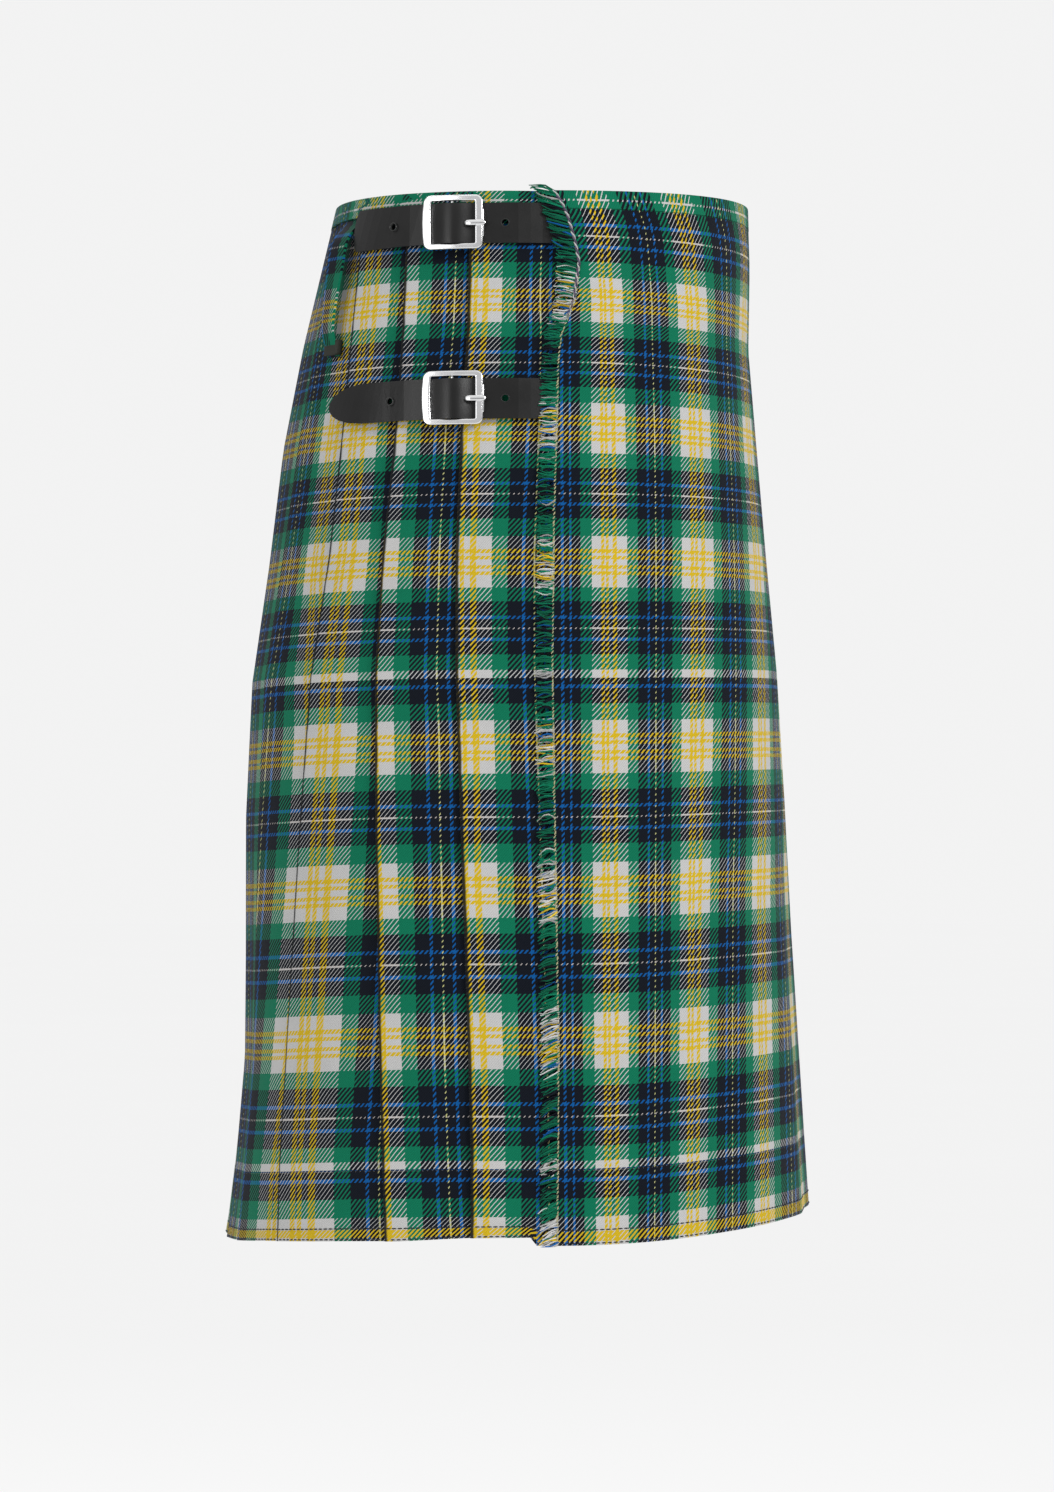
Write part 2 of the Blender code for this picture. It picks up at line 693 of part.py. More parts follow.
def belt_loop(name, side, look):
    """A cloth loop for a belt, sewn down at both ends and standing off the pleats between them."""
    path = [(down * BELT_LOOP_LENGTH, stand * BELT_LOOP_STAND) for down, stand in BELT_LOOP_PATH]
    outer, inner = [], []
    for across in (-BELT_LOOP_HALF, BELT_LOOP_HALF):

        def at(down, out, shift=across):
            depth = BELT_LOOP_TOP + down
            around = BELT_LOOP_BACK[side] + shift
            length = around if side > 0 else 2 * quarters(depth)[1][3] - around
            return place(depth, length, out + pleat_face(depth, length) + SEAM + BELT_LOOP_WALL / 2)

        upper, lower = layer(path, BELT_LOOP_WALL, at)
        outer.append(upper)
        inner.append(lower)
    return sheet(name, outer, inner, look)


def fastening(label, side, depth, tail, point, sewn, leather, metal):
    """One strap with its buckle, at the right hip (side 1) or the left (-1)."""
    at = hip_point(depth, BUCKLE_BACK, side)
    band = strap(f"strap_{label}", at, leather, sewn, tail, point)
    punch(band, at, PUNCHED, HOLE_RADIUS, HOLE_RADIUS, leather)
    punch(band, at, [TONGUE_SLOT], *TONGUE_SLOT_HALF, leather)
    buckle_frame(f"buckle_{label}", at, metal)
    tongue(f"tongue_{label}", at, metal)
    chape(f"chape_{label}", at, leather)


def main():
    for old in list(bpy.data.objects):
        bpy.data.objects.remove(old, do_unlink=True)
    tartan = material("tartan wool", (0.06, 0.19, 0.15), 0.85, 0.0)
    leather = material("black leather", (0.02, 0.02, 0.02), 0.45, 0.0)
    nickel = material("polished nickel", (0.80, 0.80, 0.81), 0.12, 1.0)
    for number in range(1, PLEATS + 1):
        cloth(f"pleat_{number:02d}", PLEAT_DEPTHS, functools.partial(pleat_path, number), tartan)
    top, bottom = (APRON_DEPTHS.index(depth) for depth in SLIT_DEPTHS)
    cloth("over_apron", APRON_DEPTHS, over_apron_path, tartan, gone={(row, 3) for row in range(top, bottom)})
    cloth("under_apron", PLEAT_DEPTHS, under_apron_path, tartan)
    waistband(tartan)
    fringe(tartan)
    belt_loop("belt_loop_right", 1, tartan)
    belt_loop("belt_loop_left", -1, tartan)
    fastening("upper_right", 1, UPPER_STRAP_DEPTH, 0.0730, 0.0050, SEWN_UNDER_OVER_APRON, leather, nickel)
    fastening("lower_right", 1, LOWER_STRAP_DEPTH, 0.0843, 0.0320, SEWN_UNDER_OVER_APRON, leather, nickel)
    fastening("left", -1, LEFT_STRAP_DEPTH, 0.0730, 0.0050, SEWN_TO_UNDER_APRON, leather, nickel)


main()
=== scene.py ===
"""Looks of a tartan kilt in its worn form: woven cloth, fringe, stitching, leather and polished buckles."""

import functools
import math
import random

import bpy
import numpy as np
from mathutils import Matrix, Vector


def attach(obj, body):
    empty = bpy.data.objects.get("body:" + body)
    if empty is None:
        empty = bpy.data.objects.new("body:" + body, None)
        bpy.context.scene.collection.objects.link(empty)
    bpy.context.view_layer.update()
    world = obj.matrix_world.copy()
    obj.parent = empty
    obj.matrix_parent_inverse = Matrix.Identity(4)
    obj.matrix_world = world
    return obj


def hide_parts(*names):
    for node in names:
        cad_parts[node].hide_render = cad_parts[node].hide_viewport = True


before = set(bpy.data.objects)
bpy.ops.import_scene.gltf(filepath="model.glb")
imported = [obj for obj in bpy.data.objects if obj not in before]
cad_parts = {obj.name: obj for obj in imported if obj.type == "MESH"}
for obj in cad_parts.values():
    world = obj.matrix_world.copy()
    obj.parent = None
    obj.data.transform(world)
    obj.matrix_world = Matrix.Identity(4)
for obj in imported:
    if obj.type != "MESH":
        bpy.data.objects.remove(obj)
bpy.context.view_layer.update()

random.seed(7)

# ---------------------------------------------------------------- the worn form, in metres

# The cloth: its wall, the pitch of its layers, its length from waist to hem and the gap at a seam.
WALL = 0.0011
LAYER_PITCH = WALL + 0.0006
LENGTH = 0.610
SEAM = 0.0003
# The waistband, and how far in it starts behind the over apron's free edge.
BAND_HEIGHT = 0.0104
BAND_WALL = 0.0014
BAND_PROUD = 0.0002
BAND_TUCK = 0.0036
# From the free edge: where the waistband's points lie as it comes out from behind the over apron.
BAND_STARTS = (-0.030, -0.020, -0.012, -0.004, 0.004, 0.011, 0.018, 0.025, 0.032, 0.042)
BAND_OUT_FROM, BAND_OUT_OVER = 0.002, 0.032
# Its other points: from this far past the free edge to this far short of it again, and how many. Then the
# last stretch and how many.
BAND_MIDDLE, BAND_END = (0.052, 0.058, 80), (0.050, 10)
# How far in the pleats and the over apron sit where they run up behind the waistband.
BEHIND_BAND = 0.0015
PANEL_TOP = BAND_HEIGHT + SEAM
# A pleat turns back under itself by a share of its shown width, up to a most.
TUCK_SHARE = 0.72
TUCK_MOST = 0.034
FACE_STEPS, NOSE_STEPS = 13, 10
# The over apron comes out from under the last pleat over its rise, and lifts towards its free edge.
OVER_RISE = 0.070
LIFT_REACH = 0.060
# Its points past the slit: from this far past the last fold to this far short of the edge, and how many.
# Then those near the edge: how far short of it each stretch starts and ends, and how many.
OVER_MIDDLE = (0.038, 0.055, 64)
OVER_ENDS = ((0.051, 0.025, 7), (0.0235, 0.0, 20))
# The under apron starts inside the over apron, with room for the left strap.
UNDER_START, UNDER_STEPS = 0.010, 44
UNDER_RISE = OVER_RISE + 0.012
UNDER_GAP = 0.0012
STRAP_ROOM = 0.0030

# The worn outline at each depth: back, front, half width, rise of the front and fall of the back.
BACK, FRONT, HALF_WIDTH, RISE, FALL = range(1, 6)
SECTIONS = (
    (0.00, 0.1239, 0.1239, 0.1450, 0.0000, 0.0000),
    (0.03, 0.1320, 0.1250, 0.1480, -0.0045, 0.0035),
    (0.08, 0.1445, 0.1242, 0.1530, -0.0050, 0.0050),
    (0.14, 0.1563, 0.1290, 0.1600, -0.0025, 0.0050),
    (0.21, 0.1644, 0.1348, 0.1670, 0.0000, 0.0040),
    (0.28, 0.1744, 0.1413, 0.1730, 0.0020, 0.0042),
    (0.36, 0.1783, 0.1459, 0.1790, 0.0042, 0.0050),
    (0.44, 0.1783, 0.1491, 0.1850, 0.0064, 0.0068),
    (0.50, 0.1788, 0.1523, 0.1895, 0.0083, 0.0078),
    (0.56, 0.1843, 0.1557, 0.1940, 0.0106, 0.0082),
    (0.61, 0.1905, 0.1587, 0.1980, 0.0131, 0.0092),
)
SECTION_POWER = 2.5
RISE_POWER = 2
FALL_POWER = 3
QUARTER_STEPS = 360
# Turn round the body, from the right side, of the middle of the back.
BACK_MIDDLE = 0.25
# How far each way the outline is read for its direction.
SLOPE_REACH = 0.002
# Turn round the body of the first four folds and of the last, at each depth.
FOLDS = (
    (0.00, 0.0480, 0.0935, 0.1370, 0.180, 0.520),
    (0.08, 0.0454, 0.0870, 0.1273, 0.172, 0.519),
    (0.14, 0.0463, 0.0855, 0.1234, 0.171, 0.518),
    (0.21, 0.0468, 0.0885, 0.1253, 0.177, 0.519),
    (0.28, 0.0446, 0.0880, 0.1304, 0.181, 0.521),
    (0.36, 0.0411, 0.0852, 0.1334, 0.180, 0.522),
    (0.44, 0.0381, 0.0825, 0.1388, 0.185, 0.523),
    (0.50, 0.0359, 0.0804, 0.1425, 0.188, 0.524),
    (0.56, 0.0337, 0.0765, 0.1412, 0.186, 0.525),
    (0.61, 0.0328, 0.0729, 0.1362, 0.181, 0.526),
)
PLEATS = 12
PLACED_FOLDS = 4
FOLD_SWAY, SWAY_BY_PLEAT, SWAY_BY_DEPTH = 0.0022, 2.3, 7
# The over apron's free edge at each depth: how far ahead of the side it lies, and how far it stands off.
EDGE = (
    (0.000, 0.0061, 0.0016),
    (0.006, 0.0102, 0.0020),
    (0.015, 0.0142, 0.0030),
    (0.030, 0.0183, 0.0042),
    (0.042, 0.0206, 0.0042),
    (0.064, 0.0177, 0.0032),
    (0.085, 0.0101, 0.0022),
    (0.100, 0.0084, 0.0018),
    (0.150, 0.0070, 0.0016),
    (0.200, 0.0056, 0.0003),
    (0.280, 0.0049, 0.0000),
    (0.360, 0.0061, 0.0000),
    (0.440, 0.0074, 0.0000),
    (0.500, 0.0083, 0.0000),
    (0.610, 0.0076, 0.0000),
)
# The slit for the left strap: its top and end, its sides past the last fold and its column of cloth.
SLIT_DEPTHS = (0.0140, 0.0390)
SLIT_AHEAD = (0.018, 0.030)
SLIT_COLUMN = 3

# How far behind the side a buckle's bar lies, then each fastening with its side and its middle's depth.
BUCKLE_BACK = 0.0520
FASTENINGS = (("upper_right", 1, 0.0190), ("lower_right", 1, 0.1218), ("left", -1, 0.0265))

# The belt loops, the right one at side 1 and the left one at side -1.
BELT_LOOP_TOP = 0.0118
BELT_LOOP_LENGTH = 0.079
BELT_LOOP_STAND = 0.0080
BELT_LOOP_HALF = 0.0085
BELT_LOOP_WALL = 0.0016
LOOP_LEAN = 0.0035
LOOP_NARROWS, NARROWS_FROM, NARROWS_OVER = 0.42, 0.1, 0.8
LOOP_SETT = 0.53
LOOP_STEPS, LOOP_ACROSS = 41, 7
LOOP_SOFTENS = (0.1, 0.2, 0.4, 0.2, 0.1)
BELT_LOOP_BACK = {1: 0.1360, -1: 0.1470}
# Share of a loop's length, and share of its stand at that place.
BELT_LOOP_PATH = (
    (0.000, 0.00),
    (0.040, 0.06),
    (0.090, 0.70),
    (0.170, 1.00),
    (0.500, 1.00),
    (0.790, 0.90),
    (0.905, 0.55),
    (0.965, 0.10),
    (1.000, 0.00),
)

# ---------------------------------------------------------------- the tartan, as thread counts

# How far the white block reaches through the sett. Then one repeat of each set of threads: each stripe's
# colour and its share of the repeat.
WHITE_BLOCK = 0.385
REST_OF_SETT = (
    ("green", 0.115),
    ("navy", 0.104),
    ("blue", 0.024),
    ("navy", 0.060),
    ("centre", 0.014),
    ("navy", 0.060),
    ("blue", 0.024),
    ("navy", 0.099),
    ("green", 0.115),
)
WARP_SETT = (
    ("white", 0.100),
    ("yellow", 0.034),
    ("white", 0.018),
    ("yellow", 0.028),
    ("white", 0.045),
    ("yellow", 0.046),
    ("white", 0.114),
    *REST_OF_SETT,
)
WEFT_SETT = (
    ("white", 0.095),
    ("yellow", 0.033),
    ("white", 0.019),
    ("yellow", 0.028),
    ("white", 0.041),
    ("yellow", 0.027),
    ("white", 0.021),
    ("yellow", 0.028),
    ("white", 0.093),
    *REST_OF_SETT,
)
THREADS = {
    "white": (0.500, 0.498, 0.490),
    "yellow": (0.590, 0.405, 0.012),
    "green": (0.0003, 0.150, 0.076),
    "navy": (0.0022, 0.0042, 0.0095),
    "blue": (0.0008, 0.086, 0.300),
}
WARP_CENTRE = (0.46, 0.46, 0.20)
WEFT_CENTRE = (0.47, 0.43, 0.41)
# How far through the sett the crossing threads are at each depth, in millimetres.
WEFT_ROWS = (
    (0.0, 0.390),
    (10.9, 0.500),
    (41.8, 0.885),
    (51.1, 1.000),
    (76.8, 1.385),
    (85.6, 1.500),
    (115.0, 1.885),
    (124.3, 2.000),
    (153.6, 2.385),
    (162.3, 2.500),
    (191.5, 2.885),
    (201.9, 3.000),
    (231.6, 3.385),
    (239.7, 3.500),
    (270.4, 3.885),
    (279.4, 4.000),
    (284.3, 4.725),
    (298.8, 4.885),
    (308.6, 5.000),
    (339.2, 5.385),
    (348.5, 5.500),
    (379.6, 5.885),
    (390.6, 6.000),
    (422.2, 6.385),
    (431.4, 6.500),
    (465.9, 6.885),
    (476.8, 7.000),
    (509.0, 7.385),
    (518.7, 7.500),
    (553.1, 7.885),
    (561.7, 8.000),
    (567.4, 8.725),
    (582.9, 8.885),
    (593.7, 9.000),
    (601.6, 9.095),
    (607.6, 9.128),
    (610.0, 9.140),
)
# Broad white lines across the cloth: depth of the middle and width, in millimetres.
WHITE_LINES = ((5.6, 1.1), (281.9, 4.4), (564.0, 4.4))
# Over apron: distance ahead of the side, in millimetres, of each white block's start and end.
APRON_COLUMNS = (
    (0.000, 18.5, 36.0, 69.5, 91.5, 143.0, 170.0),
    (0.022, 24.7, 43.6, 79.1, 103.0, 156.0, 184.0),
    (0.064, 28.1, 46.4, 83.7, 109.0, 155.6, 184.0),
    (0.140, 28.1, 48.3, 85.0, 110.0, 154.7, 182.0),
    (0.210, 28.5, 49.3, 85.0, 110.6, 153.6, 190.0),
    (0.410, 29.0, 49.5, 82.3, 104.6, 143.3, 167.8),
    (0.610, 30.6, 49.2, 80.5, 100.3, 140.2, 162.8),
)
APRON_SETT = (1.0, 1.385, 2.0, 2.385, 3.0, 3.385)
# Length of a repeat beyond the last of those blocks, in millimetres, at each depth.
FRONT_REPEAT = ((0.0, 60.0), (0.2, 70.0), (LENGTH, 88.0))
# Enough of them to reach well past the left hip.
MORE_REPEATS = 10
# Before the first white block: distance short of its start, in millimetres, and how far through the sett.
APRON_START = (
    (-24.0, 0.840),
    (-18.3, 0.795),
    (-17.7, 0.786),
    (-15.8, 0.762),
    (-15.0, 0.735),
    (-14.2, 0.735),
    (-13.4, 0.757),
    (-12.2, 0.781),
    (-6.7, 0.885),
)
# Length of a repeat on the pieces whose stripes aren't placed one by one.
REPEAT = 0.080
# The nearest pleats at some depths: how far through the sett the fold edge lies, then in millimetres the
# distance from the edge to the end of the white block and the length of a repeat beyond it.
NEAR_PLEATS = {
    1: (
        (0.063, 0.100, 20.0, 72.0),
        (0.137, 0.130, 20.6, 81.0),
        (0.316, 0.110, 21.5, 79.0),
        (0.402, 0.140, 20.4, 83.0),
        (0.568, 0.137, 20.1, 81.0),
    ),
    2: (
        (0.063, 0.253, 9.6, 72.4),
        (0.137, 0.283, 7.7, 75.5),
        (0.214, 0.252, 10.6, 79.5),
        (0.316, 0.246, 12.1, 86.9),
        (0.402, 0.223, 13.6, 84.0),
        (0.568, 0.210, 14.2, 81.1),
    ),
    3: (
        (0.063, 0.000, 27.7, 57.5),
        (0.137, 0.000, 26.2, 59.6),
        (0.214, 0.000, 29.5, 66.7),
        (0.316, 0.000, 39.1, 80.3),
        (0.402, 0.000, 42.3, 94.1),
        (0.491, 0.000, 47.6, 95.3),
        (0.568, 0.000, 47.5, 93.9),
    ),
    4: (
        (0.063, 0.531, 44.1, 51.6),
        (0.214, 0.475, 56.0, 61.5),
        (0.316, 0.600, 83.0, 106.0),
        (0.402, 0.660, 87.4, 120.5),
        (0.491, 0.750, 88.9, 140.0),
        (0.568, 0.754, 75.7, 120.0),
    ),
}
# The other pleats: how far through the sett each fold edge lies.
FAR_PLEATS = {5: 0.52, 6: 0.33, 7: 0.12, 8: 0.93, 9: 0.70, 10: 0.48, 11: 0.28, 12: 0.06}
FAR_REPEAT = 0.084
# The twill's diagonals: their spacing across and down the cloth, and how much narrower pale threads are drawn
# between dark ones, as painted shade of the thread edges.
TWILL_ACROSS, TWILL_DOWN = 0.00290, 0.00320
PALE_EDGE_SHADE = 0.72
# Painted shade along a pressed fold edge: full this near the edge, and gone from there on, in metres.
FOLD_SHADE_FULL, FOLD_SHADE_GONE = 0.0023, 0.0033

# ---------------------------------------------------------------- shape of the cloth


def smooth(share):
    share = np.clip(share, 0.0, 1.0)
    return share * share * (3 - 2 * share)


def read(table, at, column):
    """One column of a table, between its rows."""
    rows = np.array(table)
    return np.interp(at, rows[:, 0], rows[:, column])


@functools.lru_cache(maxsize=None)
def ring(depth):
    """Lengths along the worn outline from the right side, with its points, at one depth."""
    back, front, half = (read(SECTIONS, depth, column) for column in (BACK, FRONT, HALF_WIDTH))
    angle = np.linspace(-math.pi, 2 * math.pi, 6 * QUARTER_STEPS + 1)
    power = 2 / SECTION_POWER
    x = -half * np.sign(np.cos(angle)) * np.abs(np.cos(angle)) ** power
    y = np.sign(np.sin(angle)) * np.abs(np.sin(angle)) ** power
    y = y * np.where(y > 0, back, front)
    lengths = np.concatenate([[0], np.cumsum(np.hypot(np.diff(x), np.diff(y)))])
    return lengths - lengths[2 * QUARTER_STEPS], x, y


@functools.lru_cache(maxsize=None)
def quarters(depth):
    """Turns round the body from the right side, a quarter at a time, with their lengths."""
    return np.arange(-2, 5) / 4, ring(depth)[0][::QUARTER_STEPS]


def around(depth):
    """Length of the whole outline."""
    return quarters(depth)[1][-1]


def along(depth, turn):
    turns, lengths = quarters(depth)
    return float(np.interp(turn, turns, lengths))


CREASE_TOP = 0.15
# Soft troughs and ridges of the hanging cloth: turn round the body, top, reach down, half width, height
# and lean.
CREASES = (
    (-0.055, 0.25, 0.30, 0.017, 0.0016, 0.020),
    (-0.105, 0.20, 0.34, 0.022, -0.0018, 0.010),
    (-0.160, 0.28, 0.26, 0.020, 0.0020, -0.015),
    (-0.215, 0.18, 0.36, 0.024, -0.0014, 0.012),
    (-0.270, 0.24, 0.30, 0.020, 0.0019, 0.018),
    (-0.330, 0.22, 0.32, 0.024, -0.0017, -0.010),
    (-0.385, 0.30, 0.26, 0.018, 0.0018, 0.014),
    (0.030, 0.28, 0.28, 0.012, -0.0012, 0.006),
    (0.105, 0.26, 0.30, 0.014, 0.0014, 0.004),
    (0.200, 0.24, 0.34, 0.018, -0.0016, 0.012),
    (0.290, 0.28, 0.30, 0.020, 0.0018, -0.010),
    (0.375, 0.22, 0.36, 0.018, -0.0015, 0.008),
    (0.460, 0.26, 0.30, 0.016, 0.0014, -0.012),
)


def crease(depth, turns):
    """How far the hanging cloth stands out or in at a depth, at turns round the body."""
    total = np.zeros_like(turns)
    for turn, top, reach, half, height, lean in CREASES:
        down = (depth - top) / reach
        strength = smooth(down) * height
        for whole in (0.0, -1.0, 1.0):
            total += strength * np.exp(-(((turns - turn - whole - lean * down) / half) ** 2))
    return total


# How far the pleats' hem sits up, in millimetres, by length along the outline from the right side.
HEM_START = 0.5937
HEM_RISE = (
    (0.0035, 0.0),
    (0.0065, 4.6),
    (0.045, 4.2),
    (0.085, 2.6),
    (0.140, 3.4),
    (0.190, 4.2),
    (0.320, 4.2),
    (0.500, 2.5),
    (0.620, 0.0),
)


def place(depth, lengths, outs, creased=True):
    """Points at lengths along the outline, moved outwards."""
    at, xs, ys = ring(depth)
    lengths, outs = np.asarray(lengths, float), np.asarray(outs, float)
    x, y = np.interp(lengths, at, xs), np.interp(lengths, at, ys)
    after, before = lengths + SLOPE_REACH, lengths - SLOPE_REACH
    run_x, run_y = (np.interp(after, at, line) - np.interp(before, at, line) for line in (xs, ys))
    size = np.hypot(run_x, run_y)
    back, front, rise, fall = (read(SECTIONS, depth, column) for column in (BACK, FRONT, RISE, FALL))
    lift = np.where(y < 0, rise * np.abs(y / front) ** RISE_POWER, -fall * np.abs(y / back) ** FALL_POWER)
    if creased and depth > HEM_START:
        share = (depth - HEM_START) / (LENGTH - HEM_START)
        lift = lift + share * read(HEM_RISE, lengths, 1) / 1000
    if creased and depth > CREASE_TOP:
        turns = np.interp(lengths, quarters(depth)[1], quarters(depth)[0])
        outs = outs + crease(depth, turns)
    return np.stack([x - outs * run_y / size, y + outs * run_x / size, lift - depth], -1)


def fold_turn(number, depth):
    """Turn round the body of a pleat's fold edge. Those past the fourth are spread evenly, with a sway."""
    if number <= PLACED_FOLDS:
        return read(FOLDS, depth, number)
    first, last = read(FOLDS, depth, PLACED_FOLDS), read(FOLDS, depth, PLACED_FOLDS + 1)
    share = (number - PLACED_FOLDS) / (PLEATS - PLACED_FOLDS)
    sway = FOLD_SWAY * math.sin(SWAY_BY_PLEAT * number + SWAY_BY_DEPTH * depth)
    sway *= math.sin(math.pi * share) * depth / LENGTH
    return first + (last - first) * share + sway


def edge_length(depth):
    return -read(EDGE, depth, 1)


def edge_lift(depth):
    return read(EDGE, depth, 2)


def fold_length(number, depth):
    return edge_length(depth) if number == 0 else along(depth, fold_turn(number, depth))


def shown_width(number, depth):
    return fold_length(number, depth) - fold_length(number - 1, depth)


def tuck(number, depth):
    """How far a pleat turns back under itself."""
    return min(TUCK_SHARE * shown_width(max(number, 1), depth), TUCK_MOST)


def slope_of(number, depth):
    """How steeply a pleat's face goes in, from its fold edge to the pleat ahead that covers it."""
    return 2 * LAYER_PITCH / shown_width(number, depth)


def under_face(number, depth, before):
    """How far out the layer lies that runs under a pleat, at a distance before its fold edge."""
    steep = slope_of(number, depth) if number else 0.0
    return -WALL / 2 - 2 * LAYER_PITCH - steep * before


def pleat_face(depth, length):
    """How far out the pleats' outer side lies at a length along the outline."""
    number = next(n for n in range(1, PLEATS + 1) if fold_length(n, depth) > length)
    return -slope_of(number, depth) * (fold_length(number, depth) - length)


def behind_band(path, depth):
    """The top of each pleat and of the over apron is tucked behind the waistband."""
    return np.array(path) - (0, BEHIND_BAND if depth < PANEL_TOP else 0)


def pleat_path(number, depth):
    """One knife pleat as (length, out) pairs: from under the pleat ahead, over the fold and back under."""
    edge = fold_length(number, depth)
    width = shown_width(number, depth)
    under, ahead = tuck(number, depth), tuck(number - 1, depth)
    steep = slope_of(number, depth)
    nose = LAYER_PITCH / 2
    reach = nose + WALL / 2
    path = [
        (edge - width - before, under_face(number - 1, depth, before))
        for before in ahead * np.array([1 - SEAM / ahead, 0.75, 0.5, 0.25])
    ]
    shares = np.linspace(1, 0, FACE_STEPS + 1)[:-1]
    path += [(edge - before, -WALL / 2 - steep * before) for before in reach + (width - reach) * shares]
    middle = -WALL / 2 - nose - steep * reach
    tip = len(path) + NOSE_STEPS // 2
    for turn in np.linspace(90, -90, NOSE_STEPS + 1):
        angle = math.radians(turn)
        path.append((edge - reach + nose * math.cos(angle), middle + nose * math.sin(angle)))
    path += [
        (edge - before, -WALL / 2 - LAYER_PITCH - steep * before)
        for before in reach + (under - SEAM - reach) * np.array([0.2, 0.5, 0.8, 1.0])
    ]
    return behind_band(path, depth), tip


def over_apron_path(depth):
    """From under the last pleat at the left hip, round the front, to the free edge at the right hip."""
    fold = fold_length(PLEATS, depth)
    edge = edge_length(depth) + around(depth)
    before = tuck(PLEATS, depth) - SEAM
    lift = edge_lift(depth)
    places = [fold - before, fold - before / 2, fold, *(fold + side for side in SLIT_AHEAD)]
    past_fold, short, steps = OVER_MIDDLE
    places += [*np.linspace(fold + past_fold, edge - short, steps)]
    for first, last, steps in OVER_ENDS:
        places += [*np.linspace(edge - first, edge - last, steps)]
    path = []
    for at in places:
        if at < fold:
            out = under_face(PLEATS, depth, fold - at)
        else:
            out = -WALL / 2 - 2 * LAYER_PITCH * (1 - smooth((at - fold) / OVER_RISE))
        path.append((at, out + lift * smooth(1 - (edge - at) / LIFT_REACH)))
    return behind_band(path, depth), len(path) - 1


def under_apron_path(depth):
    """Inside the over apron, from the left hip to the right hip, with room for the left strap."""
    whole = around(depth)
    start = fold_length(PLEATS, depth) + UNDER_START
    first = fold_length(1, depth)
    end = whole + first - shown_width(1, depth) - tuck(0, depth)
    over = -WALL / 2 - 2 * LAYER_PITCH
    path = []
    for at in np.linspace(start, end, UNDER_STEPS):
        left = over * (1 - smooth((at - start) / UNDER_RISE))
        right = (over + WALL / 2 + WALL + UNDER_GAP) * (1 - smooth((end - at) / OVER_RISE))
        room = STRAP_ROOM * smooth(1 - (at - start) / OVER_RISE)
        path.append((at, min(left, -WALL / 2) - WALL - UNDER_GAP - room + right))
    return np.array(path), len(path) - 1


def band_path(depth):
    """All round the waist, starting behind the over apron's free edge and ending at it."""
    edge, lift = edge_length(depth), edge_lift(depth)
    end = around(depth) + edge
    middle = BAND_PROUD - BAND_WALL / 2
    past, short, steps = BAND_MIDDLE
    last_part, last_steps = BAND_END
    places = [edge + start for start in BAND_STARTS] + [*np.linspace(edge + past, end - short, steps)]
    places += [*np.linspace(end - last_part, end, last_steps)]
    path = []
    for at in places:
        out = middle - BAND_TUCK * (1 - smooth((at - edge - BAND_OUT_FROM) / BAND_OUT_OVER))
        path.append((at, out + lift * smooth(1 - (end - at) / LIFT_REACH)))
    return np.array(path), len(path) - 1


# ---------------------------------------------------------------- making meshes


def settle(made, look, smooth_angle=40):
    """Every new piece rides on the one body and takes the finish it is given."""
    made.data.materials.append(look)
    made.data.shade_smooth()
    made.data.set_sharp_from_angle(angle=math.radians(smooth_angle))
    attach(made, "root")
    return made


def signed_volume(points, faces):
    """Six times the volume inside a closed mesh of four-sided faces; below nothing if it is inside out."""
    faces = np.array(faces)
    a, b, c, d = (points[faces[:, i]] for i in range(4))
    total = np.einsum("ij,ij->i", a, np.cross(b, c)) + np.einsum("ij,ij->i", a, np.cross(c, d))
    return float(total.sum())


def new_piece(name, points, faces, maps, look, smooth_angle=40):
    """A piece of cloth or thread from its points and faces. maps holds each UV map's value at every point."""
    mesh = bpy.data.meshes.new(name)
    mesh.from_pydata(points.tolist(), [], faces)
    corners = np.empty(len(mesh.loops), np.int32)
    mesh.loops.foreach_get("vertex_index", corners)
    for map_name, values in maps.items():
        layer = mesh.uv_layers.new(name=map_name)
        layer.data.foreach_set("uv", values[corners].ravel())
    made = bpy.data.objects.new(name, mesh)
    bpy.context.scene.collection.objects.link(made)
    return settle(made, look, smooth_angle)


def shell(name, outer, inner, maps, look, gone=()):
    """A closed sheet from two equal grids of points. maps holds each UV map's grid of pairs, and gone
    the places that are cut out."""
    rows, cols = outer.shape[:2]
    points = np.concatenate([outer.reshape(-1, 3), inner.reshape(-1, 3)])
    behind = rows * cols
    kept = np.pad(np.ones((rows - 1, cols - 1), bool), 1)
    for r, c in gone:
        kept[r + 1, c + 1] = False
    faces = []
    for r in range(rows - 1):
        for c in range(cols - 1):
            if not kept[r + 1, c + 1]:
                continue
            a, b, d, e = r * cols + c, r * cols + c + 1, (r + 1) * cols + c + 1, (r + 1) * cols + c
            faces += [(a, b, d, e), (e + behind, d + behind, b + behind, a + behind)]
            sides = ((r, c + 1, b, a), (r + 1, c + 2, d, b), (r + 2, c + 1, e, d), (r + 1, c, a, e))
            for row, col, first, last in sides:
                if not kept[row, col]:
                    faces.append((first, last, last + behind, first + behind))
    if signed_volume(points, faces) < 0:
        faces = [face[::-1] for face in faces]
    both = {map_name: np.concatenate([grid.reshape(-1, 2)] * 2) for map_name, grid in maps.items()}
    return new_piece(name, points, faces, both, look)


def sides_of(path, wall):
    """The two faces of a strip along a path of (length, out) pairs."""
    run = np.gradient(path, axis=0)
    run[1:-1] = path[2:] - path[:-2]
    side = np.stack([-run[:, 1], run[:, 0]], 1) / np.hypot(run[:, 0], run[:, 1])[:, None]
    return path + side * wall / 2, path - side * wall / 2


def weft_sett(depth):
    return read(WEFT_ROWS, depth * 1000, 1)


